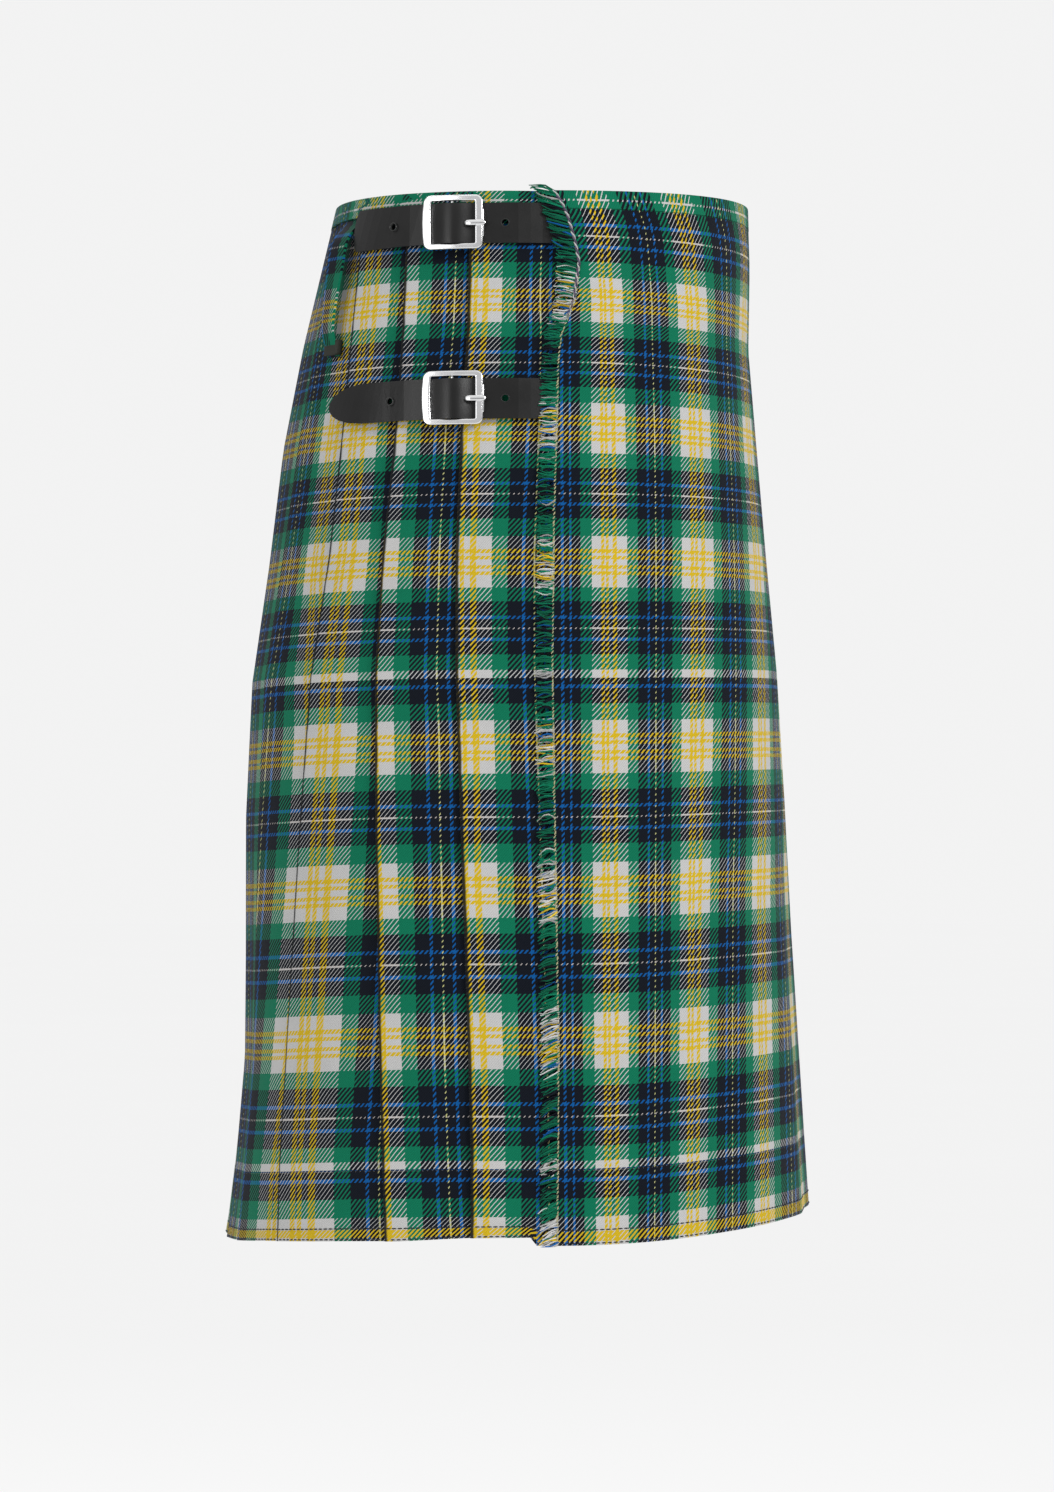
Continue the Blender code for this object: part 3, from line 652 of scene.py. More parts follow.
# Depths of the rows of points: at the stripes' edges, and evenly between them.
ROW_START, ROW_END, ROW_PITCH = 0.018, 0.606, 0.0092
ROW_DEPTHS = sorted(
    {PANEL_TOP, LENGTH, *SLIT_DEPTHS, *(row[0] / 1000 for row in WEFT_ROWS if 12 < row[0] < 608)}
    | {round(depth, 4) for depth in np.arange(ROW_START, ROW_END, ROW_PITCH)}
)
TUCKED_DEPTHS = [0.0030, 0.0070, 0.01045, *ROW_DEPTHS]
BAND_DEPTHS = (0.0, 0.0012, 0.0030, 0.0055, 0.0080, BAND_HEIGHT)


def cloth(name, depths, path_at, sett_at, look, wall=WALL, gone=()):
    """A cloth piece from its path at each depth, with its flat size and area. sett_at(depth, path, run) gives
    how far through the sett each point is; run is the length of cloth from the path's marked point."""
    outer, inner, sett, weave, widths = [], [], [], [], []
    for depth in depths:
        path, mark = path_at(depth)
        steps = np.hypot(*np.diff(path, axis=0).T)
        widths.append(steps.sum())
        run = np.concatenate([[0], np.cumsum(steps)])
        run = run - run[mark]
        upper, lower = sides_of(path, wall)
        outer.append(place(depth, upper[:, 0], upper[:, 1]))
        inner.append(place(depth, lower[:, 0], lower[:, 1]))
        sett.append(np.stack([sett_at(depth, path, run), np.full(len(path), weft_sett(depth))], 1))
        weave.append(np.stack([run, np.full(len(path), depth)], 1))
    maps = {"Sett": np.array(sett), "Weave": np.array(weave)}
    made = shell(name, np.array(outer), np.array(inner), maps, look, gone)
    widths, tall = np.array(widths), np.array(depths)
    area = float(np.sum((widths[1:] + widths[:-1]) / 2 * np.diff(tall)))
    return made, (float(widths.max()), float(tall[-1] - tall[0])), area


def apron_sett(depth, path, run):
    """Sett of the over apron, counted forwards from the right side."""
    ahead = (around(depth) - path[:, 0]) * 1000
    blocks = [read(APRON_COLUMNS, depth, column) for column in range(1, len(APRON_SETT) + 1)]
    knots = [blocks[0] + short for short, _ in APRON_START] + blocks
    values = [value for _, value in APRON_START] + [*APRON_SETT]
    knots.append(knots[-1] + MORE_REPEATS * read(FRONT_REPEAT, depth, 1))
    values.append(values[-1] + MORE_REPEATS)
    return np.interp(ahead, knots, values)


def sett_before(number, depth, before):
    """Sett of a pleat at distances before its fold edge; a negative distance is on the part folded under."""
    if number in FAR_PLEATS:
        return FAR_PLEATS[number] + before / FAR_REPEAT
    phase, white_end, repeat = (read(NEAR_PLEATS[number], depth, column) for column in (1, 2, 3))
    white_end, repeat = white_end / 1000, repeat / 1000
    target = WHITE_BLOCK + (1.0 if phase > WHITE_BLOCK else 0.0)
    under = phase + before / repeat
    near = phase + (target - phase) * before / white_end
    far = target + (before - white_end) / repeat
    return np.where(before < 0, under, np.where(before < white_end, near, far))


def pleat_sett(number, depth, path, run):
    return sett_before(number, depth, -run)


def plain_sett(depth, path, run):
    return 0.2 - run / REPEAT


def band_sett(depth, path, run):
    """The waistband's warp follows the pleats and the apron below it."""
    value = np.zeros(len(path))
    for i, (length, _) in enumerate(path):
        if length < edge_length(depth):
            value[i] = 0.3 - length / REPEAT
            continue
        number = next((n for n in range(1, PLEATS + 1) if fold_length(n, depth) > length), None)
        if number is None:
            value[i] = apron_sett(depth, np.array([[length, 0]]), None)[0]
        else:
            value[i] = sett_before(number, depth, fold_length(number, depth) - length)
    return value


# ---------------------------------------------------------------- shader building


def new_material(name):
    look = bpy.data.materials.new(name)
    look.use_nodes = True
    return look, look.node_tree, look.node_tree.nodes["Principled BSDF"]


def feed(tree, node, values):
    """Fills a node's inputs by name or number; each value is a number, a colour or a socket."""
    for label, value in values.items():
        if isinstance(value, bpy.types.NodeSocket):
            tree.links.new(value, node.inputs[label])
        elif isinstance(value, tuple):
            node.inputs[label].default_value = (*value, 1.0)
        elif value is not None:
            node.inputs[label].default_value = value
    return node


def add(tree, kind, values=None, **settings):
    node = tree.nodes.new(kind)
    for key, value in settings.items():
        setattr(node, key, value)
    return feed(tree, node, values or {})


def math_node(tree, operation, first, second=None, third=None):
    """A Math node; each input is a number or a socket."""
    return add(tree, "ShaderNodeMath", {0: first, 1: second, 2: third}, operation=operation).outputs[0]


def mix_colour(tree, share, first, second, blend="MIX"):
    values = {0: share, 6: first, 7: second}
    return add(tree, "ShaderNodeMix", values, data_type="RGBA", blend_type=blend).outputs[2]


def shaded(tree, colour, shade):
    """A colour made darker or paler by a factor."""
    grey = add(tree, "ShaderNodeCombineXYZ", {0: shade, 1: shade, 2: shade})
    return mix_colour(tree, 1.0, colour, grey.outputs[0], "MULTIPLY")


def parts_of(tree, vector):
    return add(tree, "ShaderNodeSeparateXYZ", {0: vector}).outputs


def edge_shade_of(tree, colour):
    """How much narrower threads of a colour are drawn between darker ones, as painted shade of their edges:
    pale ones most, and bright yellow much less.
    """
    parts = add(tree, "ShaderNodeSeparateColor", {0: colour}).outputs
    warmth = math_node(tree, "MAXIMUM", math_node(tree, "SUBTRACT", parts[0], parts[2]), 0.0)
    grey = add(tree, "ShaderNodeRGBToBW", {0: colour}).outputs[0]
    return math_node(tree, "MULTIPLY_ADD", warmth, -0.5, grey)


def noise(tree, vector, scale, detail=2.0, roughness=0.5):
    values = {"Vector": vector, "Scale": scale, "Detail": detail, "Roughness": roughness}
    return add(tree, "ShaderNodeTexNoise", values).outputs["Fac"]


def map_range(tree, value, low, high, start=0.0, end=1.0):
    values = {"Value": value, "From Min": start, "From Max": end, "To Min": low, "To Max": high}
    return add(tree, "ShaderNodeMapRange", values).outputs["Result"]


def bump(tree, shader, height, distance, strength):
    node = add(tree, "ShaderNodeBump", {"Height": height, "Distance": distance, "Strength": strength})
    tree.links.new(node.outputs["Normal"], shader.inputs["Normal"])


def uv_of(tree, name):
    return add(tree, "ShaderNodeUVMap", uv_map=name).outputs["UV"]


def object_place(tree):
    return add(tree, "ShaderNodeTexCoord").outputs["Object"]


def group(name, inputs, outputs):
    """A new node group, from (label, kind, value) of its inputs and (label, kind) of its outputs."""
    tree = bpy.data.node_groups.new(name, "ShaderNodeTree")
    for label, kind, value in inputs:
        socket = tree.interface.new_socket(label, in_out="INPUT", socket_type=f"NodeSocket{kind}")
        if value is not None:
            socket.default_value = value
    for label, kind in outputs:
        tree.interface.new_socket(label, in_out="OUTPUT", socket_type=f"NodeSocket{kind}")
    return tree, add(tree, "NodeGroupInput").outputs, add(tree, "NodeGroupOutput")


def use_group(tree, made, values):
    """Places a group in a material, or in another group."""
    return feed(tree, add(tree, "ShaderNodeGroup", node_tree=made), values)


def stripe_group(name, sett, centre):
    """Colour of one set of threads from how far through the sett it is."""
    tree, given, out = group(name, [("Sett", "Float", 0.0)], [("Color", "Color")])
    ramp = add(tree, "ShaderNodeValToRGB", {0: math_node(tree, "FRACT", given["Sett"])})
    ramp.color_ramp.interpolation = "CONSTANT"
    stops = ramp.color_ramp.elements
    at = 0.0
    for i, (thread, width) in enumerate(sett):
        stop = stops[i] if i < 2 else stops.new(at)
        stop.position = at
        stop.color = (*THREADS.get(thread, centre), 1.0)
        at += width
    feed(tree, out, {"Color": ramp.outputs["Color"]})
    return tree


def line_group():
    """1 within broad lines across the cloth, from the depth."""
    tree, given, out = group("Broad lines", [("Depth", "Float", 0.0)], [("Mask", "Float")])
    total = 0.0
    for middle, width in WHITE_LINES:
        away = math_node(tree, "ABSOLUTE", math_node(tree, "SUBTRACT", given["Depth"], middle / 1000))
        total = math_node(tree, "MAXIMUM", total, math_node(tree, "LESS_THAN", away, width / 2000))
    feed(tree, out, {"Mask": total})
    return tree


def weft_colour(tree, stripes, lines, sett, weave):
    """Colour of the threads across the cloth, with the broad white lines laid in."""
    colour = use_group(tree, stripes, {"Sett": sett["Y"]}).outputs["Color"]
    line = use_group(tree, lines, {"Depth": weave["Y"]}).outputs["Mask"]
    return mix_colour(tree, line, colour, THREADS["white"]), line


def twill_group(warp_stripes, weft_stripes, lines):
    """Woven colour and relief of a two-up two-down twill, from the sett and the cloth's own lengths."""
    tree, given, out = group(
        "Twill tartan",
        [("Sett", "Vector", None), ("Weave", "Vector", None), ("Wool", "Float", 0.12)],
        [("Color", "Color"), ("Height", "Float"), ("Weft over", "Float")],
    )
    sett, weave = parts_of(tree, given["Sett"]), parts_of(tree, given["Weave"])
    warp = use_group(tree, warp_stripes, {"Sett": sett["X"]}).outputs["Color"]
    weft, line = weft_colour(tree, weft_stripes, lines, sett, weave)
    wander = noise(tree, given["Weave"], 60.0, 1.0)
    across = math_node(tree, "DIVIDE", weave["X"], TWILL_ACROSS)
    diagonal = math_node(tree, "SUBTRACT", math_node(tree, "DIVIDE", weave["Y"], TWILL_DOWN), across)
    diagonal = math_node(tree, "MULTIPLY_ADD", wander, 0.5, diagonal)
    # Painted shade: pale threads are drawn narrower where they cross darker ones, standing in for the shade
    # along their edges.
    paler = math_node(tree, "SUBTRACT", edge_shade_of(tree, weft), edge_shade_of(tree, warp))
    least = math_node(tree, "MULTIPLY_ADD", paler, PALE_EDGE_SHADE, 0.5)
    least = math_node(tree, "MULTIPLY_ADD", line, -0.10, least)
    over = math_node(tree, "GREATER_THAN", math_node(tree, "FRACT", diagonal), least)
    # Each thread takes the dye a little differently, and the wool is slightly mottled.
    threads = noise(tree, given["Weave"], 2600.0, 2.0, 0.6)
    cloudy = noise(tree, given["Weave"], 38.0, 3.0, 0.6)
    mottle = math_node(tree, "MULTIPLY_ADD", cloudy, 0.35, math_node(tree, "MULTIPLY", threads, 0.9))
    mottle = math_node(tree, "MULTIPLY", math_node(tree, "SUBTRACT", mottle, 0.625), given["Wool"])
    ridge = math_node(tree, "SINE", math_node(tree, "MULTIPLY", diagonal, 4 * math.pi))
    ridge = math_node(tree, "MULTIPLY_ADD", ridge, 0.5, 0.5)
    # Painted shade: the colour is darkened a little in the grooves between the twill's diagonal ribs.
    groove_shade = math_node(tree, "MULTIPLY_ADD", ridge, 0.16, 0.87)
    shade = math_node(tree, "MULTIPLY", math_node(tree, "ADD", mottle, 1.0), groove_shade)
    colour = shaded(tree, mix_colour(tree, over, warp, weft), shade)
    height = math_node(tree, "MULTIPLY_ADD", threads, 0.7, ridge)
    feed(tree, out, {"Color": colour, "Height": height, "Weft over": over})
    return tree


def grain_group():
    """Pebbled relief and cloudy shading for leather, or fine scratches for metal."""
    tree, given, out = group(
        "Grain",
        [("Vector", "Vector", None), ("Size", "Float", 900.0), ("Cloud", "Float", 60.0)],
        [("Height", "Float"), ("Cloud", "Float")],
    )
    cells = add(tree, "ShaderNodeTexVoronoi", {"Vector": given["Vector"], "Scale": given["Size"]})
    fine = noise(tree, given["Vector"], given["Size"], 3.0)
    height = math_node(tree, "ADD", cells.outputs["Distance"], fine)
    feed(tree, out, {"Height": height, "Cloud": noise(tree, given["Vector"], given["Cloud"], 3.0)})
    return tree


def tartan_material(name, twill, painted_fold_shade=False):
    """Woven cloth. One with painted fold shade is painted dark along its folds, where the run is nothing, as
    a painted shadow at each fold edge.
    """
    look, tree, shader = new_material(name)
    weave = uv_of(tree, "Weave")
    woven = use_group(tree, twill, {"Sett": uv_of(tree, "Sett"), "Weave": weave, "Wool": 0.45}).outputs
    colour = woven["Color"]
    if painted_fold_shade:
        # Painted shade: near each fold edge the colour is mixed towards near black, standing in for the
        # shadow of the fold.
        run = math_node(tree, "ABSOLUTE", parts_of(tree, weave)["X"])
        away = math_node(tree, "MULTIPLY_ADD", noise(tree, weave, 55.0), 0.0016, run)
        fold_shade_mask = map_range(tree, away, 0.96, 0.0, FOLD_SHADE_FULL, FOLD_SHADE_GONE)
        colour = mix_colour(tree, fold_shade_mask, colour, (0.004, 0.005, 0.006))
    rough = map_range(tree, woven["Height"], 0.92, 0.78)
    values = {"Base Color": colour, "Roughness": rough, "Specular IOR Level": 0.12, "Sheen Weight": 0.04}
    feed(tree, shader, values)
    bump(tree, shader, woven["Height"], 0.00012, 0.55)
    return look


def loose_thread_material(name, stripes, lines):
    """Loose weft threads: the colour of the row that they leave, with each thread a little different."""
    look, tree, shader = new_material(name)
    sett, weave = parts_of(tree, uv_of(tree, "Sett")), parts_of(tree, uv_of(tree, "Weave"))
    colour, _ = weft_colour(tree, stripes, lines, sett, weave)
    colour = shaded(tree, colour, map_range(tree, sett["X"], 0.62, 1.35))
    feed(tree, shader, {"Base Color": colour, "Roughness": 0.8, "Specular IOR Level": 0.2})
    bump(tree, shader, noise(tree, object_place(tree), 3000.0), 0.0001, 0.6)
    return look


def sewing_thread_material(name, colour):
    look, tree, shader = new_material(name)
    twist = noise(tree, object_place(tree), 1800.0)
    shades = mix_colour(tree, twist, tuple(0.7 * c for c in colour), colour)
    feed(tree, shader, {"Base Color": shades, "Roughness": 0.75})
    bump(tree, shader, twist, 0.0001, 0.5)
    return look


def leather_material(name, grain, shine=0.38):
    look, tree, shader = new_material(name)
    pores = use_group(tree, grain, {"Vector": object_place(tree), "Size": 2200.0, "Cloud": 70.0}).outputs
    colour = mix_colour(tree, pores["Cloud"], (0.0020, 0.0020, 0.0020), (0.0058, 0.0056, 0.0055))
    rough = map_range(tree, pores["Cloud"], 0.26, 0.40)
    feed(tree, shader, {"Base Color": colour, "Roughness": rough, "Specular IOR Level": shine})
    bump(tree, shader, pores["Height"], 0.00006, 0.35)
    return look


def metal_material(name, grain):
    look, tree, shader = new_material(name)
    rubbed = use_group(tree, grain, {"Vector": object_place(tree), "Size": 1500.0, "Cloud": 160.0}).outputs
    colour = mix_colour(tree, rubbed["Cloud"], (0.80, 0.80, 0.81), (0.90, 0.90, 0.90))
    rough = map_range(tree, rubbed["Cloud"], 0.10, 0.24)
    feed(tree, shader, {"Base Color": colour, "Roughness": rough, "Metallic": 1.0})
    bump(tree, shader, rubbed["Height"], 0.00002, 0.15)
    return look


warp_stripes = stripe_group("Warp thread count", WARP_SETT, WARP_CENTRE)
weft_stripes = stripe_group("Weft thread count", WEFT_SETT, WEFT_CENTRE)
lines = line_group()
twill = twill_group(warp_stripes, weft_stripes, lines)
grain = grain_group()
tartan = tartan_material("worsted tartan", twill)
# The pleats' cloth, with painted shade along its fold edges.
fold_shaded_tartan = tartan_material("worsted tartan with painted fold shade", twill, painted_fold_shade=True)
fringe_wool = loose_thread_material("loose weft threads", weft_stripes, lines)
leather = leather_material("black strap leather", grain)
worn_edge = leather_material("worn strap edge", grain, 0.6)
nickel = metal_material("polished nickel", grain)
black_thread = sewing_thread_material("black sewing thread", (0.012, 0.012, 0.014))
cream_thread = sewing_thread_material("cream sewing thread", (0.52, 0.47, 0.27))
plum_thread = sewing_thread_material("plum edging thread", (0.085, 0.055, 0.115))
dark_tape = sewing_thread_material("dark tape", (0.012, 0.014, 0.007))

# ---------------------------------------------------------------- cloth pieces

for number in range(1, PLEATS + 1):
    made, flat, area = cloth(
        f"tartan_pleat_{number:02d}",
        TUCKED_DEPTHS,
        functools.partial(pleat_path, number),
        functools.partial(pleat_sett, number),
        fold_shaded_tartan,
    )
    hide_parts(f"pleat_{number:02d}")

slit_top, slit_end = SLIT_DEPTHS
slit = [(row, SLIT_COLUMN) for row, depth in enumerate(TUCKED_DEPTHS) if slit_top <= depth < slit_end]
over_apron, over_flat, over_area = cloth(
    "tartan_over_apron", TUCKED_DEPTHS, over_apron_path, apron_sett, tartan, gone=slit
)
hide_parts("over_apron")
under_apron, flat, area = cloth("tartan_under_apron", ROW_DEPTHS, under_apron_path, plain_sett, tartan)
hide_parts("under_apron")
waistband, flat, area = cloth("waistband_tartan", BAND_DEPTHS, band_path, band_sett, tartan, wall=BAND_WALL)
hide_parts("waistband")


def side_name(side):
    return "right" if side > 0 else "left"


def loop_length(side, down, ahead_of_middle):
    """Length along the outline of a place on a belt loop; the left loop mirrors the right one."""
    length = BELT_LOOP_BACK[side] + ahead_of_middle
    return length if side > 0 else 2 * along(down, BACK_MIDDLE) - length


def belt_loop(side):
    """A folded strip of the same cloth, sewn down at both ends and narrower at the lower one."""
    shares = np.linspace(0, 1, LOOP_STEPS)
    soft = np.pad(read(BELT_LOOP_PATH, shares, 1), 2, mode="edge")
    soft = np.convolve(soft, LOOP_SOFTENS, "valid")
    soft[[0, -1]] = 0.0
    path = np.stack([shares * BELT_LOOP_LENGTH, soft * BELT_LOOP_STAND], 1)
    run = path[:, 0]
    faces = [[], []]
    sett, weave = [], []
    for shift in np.linspace(-BELT_LOOP_HALF, BELT_LOOP_HALF, LOOP_ACROSS):
        for face, line in zip(faces, sides_of(path, BELT_LOOP_WALL)):
            row = []
            for down, out in line:
                depth = float(BELT_LOOP_TOP + down)
                pinch = float(smooth((down / BELT_LOOP_LENGTH - NARROWS_FROM) / NARROWS_OVER))
                length = loop_length(side, depth, LOOP_LEAN * pinch + shift * (1 - LOOP_NARROWS * pinch))
                base = pleat_face(depth, length) + SEAM + BELT_LOOP_WALL / 2
                row.append(place(depth, [length], [out + base])[0])
            face.append(row)
        across = np.full(LOOP_STEPS, LOOP_SETT + shift / REPEAT)
        sett.append(np.stack([across, weft_sett(BELT_LOOP_TOP + run)], 1))
        weave.append(np.stack([np.full(LOOP_STEPS, shift), run + BELT_LOOP_TOP], 1))
    maps = {"Sett": np.array(sett), "Weave": np.array(weave)}
    made = shell(f"belt_loop_{side_name(side)}_tartan", np.array(faces[0]), np.array(faces[1]), maps, tartan)
    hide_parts(f"belt_loop_{side_name(side)}")


for side in (1, -1):
    belt_loop(side)

# ---------------------------------------------------------------- threads


def tubes(name, lines_of, look, sides=4):
    """One mesh of many closed tubes. Each line is (points, radii, shade, place in the sett, depth)."""
    points, faces, sett, weave = [], [], [], []
    for centre, radii, shade, colour, depth in lines_of:
        centre = np.array(centre, float)
        run = np.gradient(centre, axis=0)
        run /= np.linalg.norm(run, axis=1)[:, None]
        up = np.array([0.0, 0.0, 1.0]) if abs(run[0][2]) < 0.8 else np.array([0.0, 1.0, 0.0])
        side = np.cross(run, up)
        side /= np.linalg.norm(side, axis=1)[:, None]
        top = np.cross(side, run)
        base = len(points)
        for i, radius in enumerate(radii):
            for angle in np.arange(sides) * 2 * math.pi / sides:
                points.append(centre[i] + radius * (side[i] * math.cos(angle) + top[i] * math.sin(angle)))
        sett += [(shade, colour)] * (len(radii) * sides)
        weave += [(0.0, depth)] * (len(radii) * sides)
        for i in range(len(radii) - 1):
            a, b = base + i * sides, base + (i + 1) * sides
            for j in range(sides):
                k = (j + 1) % sides
                faces.append((a + j, b + j, b + k, a + k))
        last = base + (len(radii) - 1) * sides
        faces.append(tuple(base + j for j in range(sides)))
        faces.append(tuple(last + j for j in reversed(range(sides))))
    maps = {"Sett": np.array(sett), "Weave": np.array(weave)}
    return new_piece(name, np.array(points), faces, maps, look, smooth_angle=70)


# Where green and blue lie in the sett, the navy stretch, and how often loose threads change colour: navy
# ones to green, and white ones to green or, up to the last share, to blue.
GREEN_SHARE, BLUE_SHARE = 0.44, 0.616
NAVY_START, NAVY_END = 0.5, 0.885
NAVY_TO_GREEN, WHITE_TO_GREEN, WHITE_TO_BLUE = 0.55, 0.26, 0.34
# The fringe's threads: length past the edge, length on the cloth, radius and spacing.
FRINGE_REACH, FRINGE_ROOT, FRINGE_RADIUS = 0.0080, 0.0014, 0.00052
FRINGE_SPACING = (0.00046, 0.00076)
# They part into tufts, are longer, higher and fuller over the top stretch, and droop below.
TUFT_WAVE, TUFT_RIPPLE = 760, 1730
TUFT_REACH, TUFT_RISE, TUFT_CURL = 0.0008, 0.0009, 0.0008
FRINGE_TOP, TOP_REACH, TOP_RISE, TOP_STAND = 0.095, 0.0054, 0.0042, 0.0016
DROOP_START, DROOP_OVER = 0.20, 0.35
# The whipping over the fringe's root: its stitches' sizes, length, radii and height off the cloth.
WHIPPING_START, WHIPPING_PITCH, WHIPPING_LENGTH, WHIPPING_PROUD = 0.046, 0.0021, 0.0019, 0.00044
WHIPPING_SIZES = (0.7, 0.9, 1.0, 1.0, 1.25)
WHIPPING_RADII = ((0.0, 0.00016), (0.5, 0.00040), (1.0, 0.00018))
# The twisted cord: where it ends, how far it thins before that, its turn, and its place off the edge.
CORD_END, CORD_THINS, CORD_TURN, CORD_RADIUS = 0.074, 0.024, 0.0062, 0.00052
CORD_STEPS, CORD_SWING, CORD_STAND, CORD_ROLL = 75, 0.00062, 0.0009, 0.00045
# Shade and place in the sett of a sewing thread, whose look reads neither.
PLAIN = (0.5, 0.2)


def loose_colour(depth):
    """Where in the sett a loose thread takes its colour: near its own row, with most navy ones made green."""
    sett = weft_sett(min(max(depth + random.gauss(0, 0.0036), 0.0), LENGTH))
    share, other = sett % 1, random.random()
    if NAVY_START < share < NAVY_END and other < NAVY_TO_GREEN:
        return sett - share + GREEN_SHARE, random.uniform(0.0, 0.30)
    if share < WHITE_BLOCK and other < WHITE_TO_GREEN:
        return sett - share + GREEN_SHARE, random.uniform(0.3, 1.0)
    if share < WHITE_BLOCK and other < WHITE_TO_BLUE:
        return sett - share + BLUE_SHARE, random.uniform(0.6, 1.0)
    return sett, random.random()


def fringe_lines():
    """Loose weft threads that leave the free edge in combed tufts, fuller and lifted near the top."""
    lines_of = []
    depth = 0.0008
    while depth < LENGTH - 0.0006:
        top = float(smooth(1 - depth / FRINGE_TOP))
        tuft = math.sin(depth * TUFT_WAVE) + 0.6 * math.sin(depth * TUFT_RIPPLE + 1.3)
        reach = FRINGE_REACH + TUFT_REACH * tuft + 0.0016 * random.random() + TOP_REACH * top
        droop = float(smooth((depth - DROOP_START) / DROOP_OVER))
        rise = TUFT_RISE * tuft + random.gauss(0, 0.0006) + TOP_RISE * top - TOP_RISE * droop
        curl = random.gauss(0, 0.0011) + TUFT_CURL * tuft
        wave = random.uniform(0, 6.28)
        stand = random.uniform(0.0001, 0.0012) + TOP_STAND * top
        lift, edge = edge_lift(depth), edge_length(depth)
        sett, shade = loose_colour(depth)
        points, radii = [], []
        for share in (0.0, 0.2, 0.4, 0.6, 0.8, 1.0):
            at = depth - rise * share**1.4 - curl * math.sin(math.pi * share)
            at = min(max(at + 0.0003 * math.sin(wave + 7 * share), -0.0030), LENGTH + 0.0006 * share)
            over = lift * (1 - 0.35 * share) + stand * math.sin(math.pi * min(share * 1.15, 1.0)) - 0.0002
            if share > 0.1:
                over = max(over, pleat_face(depth, edge + reach * share + 0.0001) + 0.00045)
            length = edge - FRINGE_ROOT + (reach + FRINGE_ROOT) * share
            point = place(round(max(at, 0.0), 5), [length], [over], False)[0]
            point[2] -= min(at, 0.0)
            points.append(point)
            radii.append(FRINGE_RADIUS * (1 - 0.55 * share**2))
        lines_of.append((points, radii, shade, sett, depth))
        depth += random.uniform(*FRINGE_SPACING) * (1 - 0.15 * top)
    return lines_of + root_cord(0)


def edge_stitches():
    """Whipping over the root of the fringe, in loose thread ends of cream and yellow."""
    lines_of = []
    depth = WHIPPING_START
    while depth < LENGTH - 0.003:
        edge, lift = edge_length(depth), edge_lift(depth)
        size = random.choice(WHIPPING_SIZES)
        lean = random.uniform(0.0004, 0.0014)
        points, radii = [], []
        for share, radius in WHIPPING_RADII:
            at = depth + (share - 0.5) * WHIPPING_LENGTH * size
            reach = edge - 0.0012 + lean * share + random.uniform(-0.00015, 0.00015)
            points.append(place(round(at, 5), [reach], [lift + WHIPPING_PROUD], False)[0])
            radii.append(radius * size)
        lines_of.append((points, radii, *PLAIN, depth))
        depth += WHIPPING_PITCH + random.uniform(-0.0004, 0.0007)
    return lines_of


def root_cord(strand):
    """One of two thick threads twisted together along the lifted top of the free edge."""
    points, radii = [], []
    for depth in np.linspace(0.0, CORD_END, CORD_STEPS):
        turn = depth / CORD_TURN * 2 * math.pi + math.pi * strand
        depth = float(round(depth, 5))
        edge, lift = edge_length(depth), edge_lift(depth)
        reach = edge - 0.0002 + CORD_SWING * math.cos(turn)
        points.append(place(depth, [reach], [lift + CORD_STAND + CORD_ROLL * math.sin(turn)], False)[0])
        radii.append(CORD_RADIUS * (1 - 0.5 * smooth(1 - (CORD_END - depth) / CORD_THINS)))
    return [(points, radii, 0.4, 0.04, 0.03)]


fringe = tubes("fringe_threads", fringe_lines(), fringe_wool)
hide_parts("fringe")
stitching = tubes("fringe_whipping", edge_stitches(), cream_thread)
cord = tubes("fringe_root_cord", root_cord(1), plum_thread, sides=6)


def face_out(depth, length):
    """How far out the visible cloth lies at a length from the free edge, back and round to the left side."""
    last = fold_length(PLEATS, depth)
    if length < last:
        return pleat_face(depth, length)
    before = around(depth) + edge_length(depth) - length
    out = -2 * LAYER_PITCH * (1 - float(smooth((length - last) / OVER_RISE)))
    return out + edge_lift(depth) * float(smooth(1 - before / LIFT_REACH))


# Each row of stitches: height above the hem, length of a stitch and the gap to the next.
HEM_ROWS = ((0.0088, 0.0026, 0.0009), (0.0012, 0.0022, 0.0012))
STITCH_RADII, STITCH_PROUD = (0.00024, 0.00040, 0.00024), 0.00012


def hem_stitches():
    """Two rows of machine stitching round the hem, broken at the folds."""
    lines_of = []
    for height, stitch, gap in HEM_ROWS:
        depth = LENGTH - height
        length = edge_length(depth) + 0.002
        finish = around(depth) + edge_length(depth) - 0.001
        folds = [fold_length(n, depth) for n in range(1, PLEATS + 1)]
        while length + stitch < finish:
            if all(abs(length + stitch / 2 - fold) > stitch for fold in folds):
                points = []
                for share in (0.0, 0.5, 1.0):
                    at = length + stitch * share
                    points.append(place(depth, [at], [face_out(depth, at) + STITCH_PROUD])[0])
                lines_of.append((points, STITCH_RADII, *PLAIN, depth))
            length += stitch + gap
    return lines_of


tubes("hem_stitching", hem_stitches(), black_thread)

# ---------------------------------------------------------------- leather and metal


def hip_place(depth, side):
    """A function from (ahead of the buckle's bar, up, out) to the world."""

    def at(ahead, up, out):
        x, y, z = place(round(depth - up, 6), [BUCKLE_BACK - ahead], [out], False)[0]
        return (side * x, y, z)

    return at


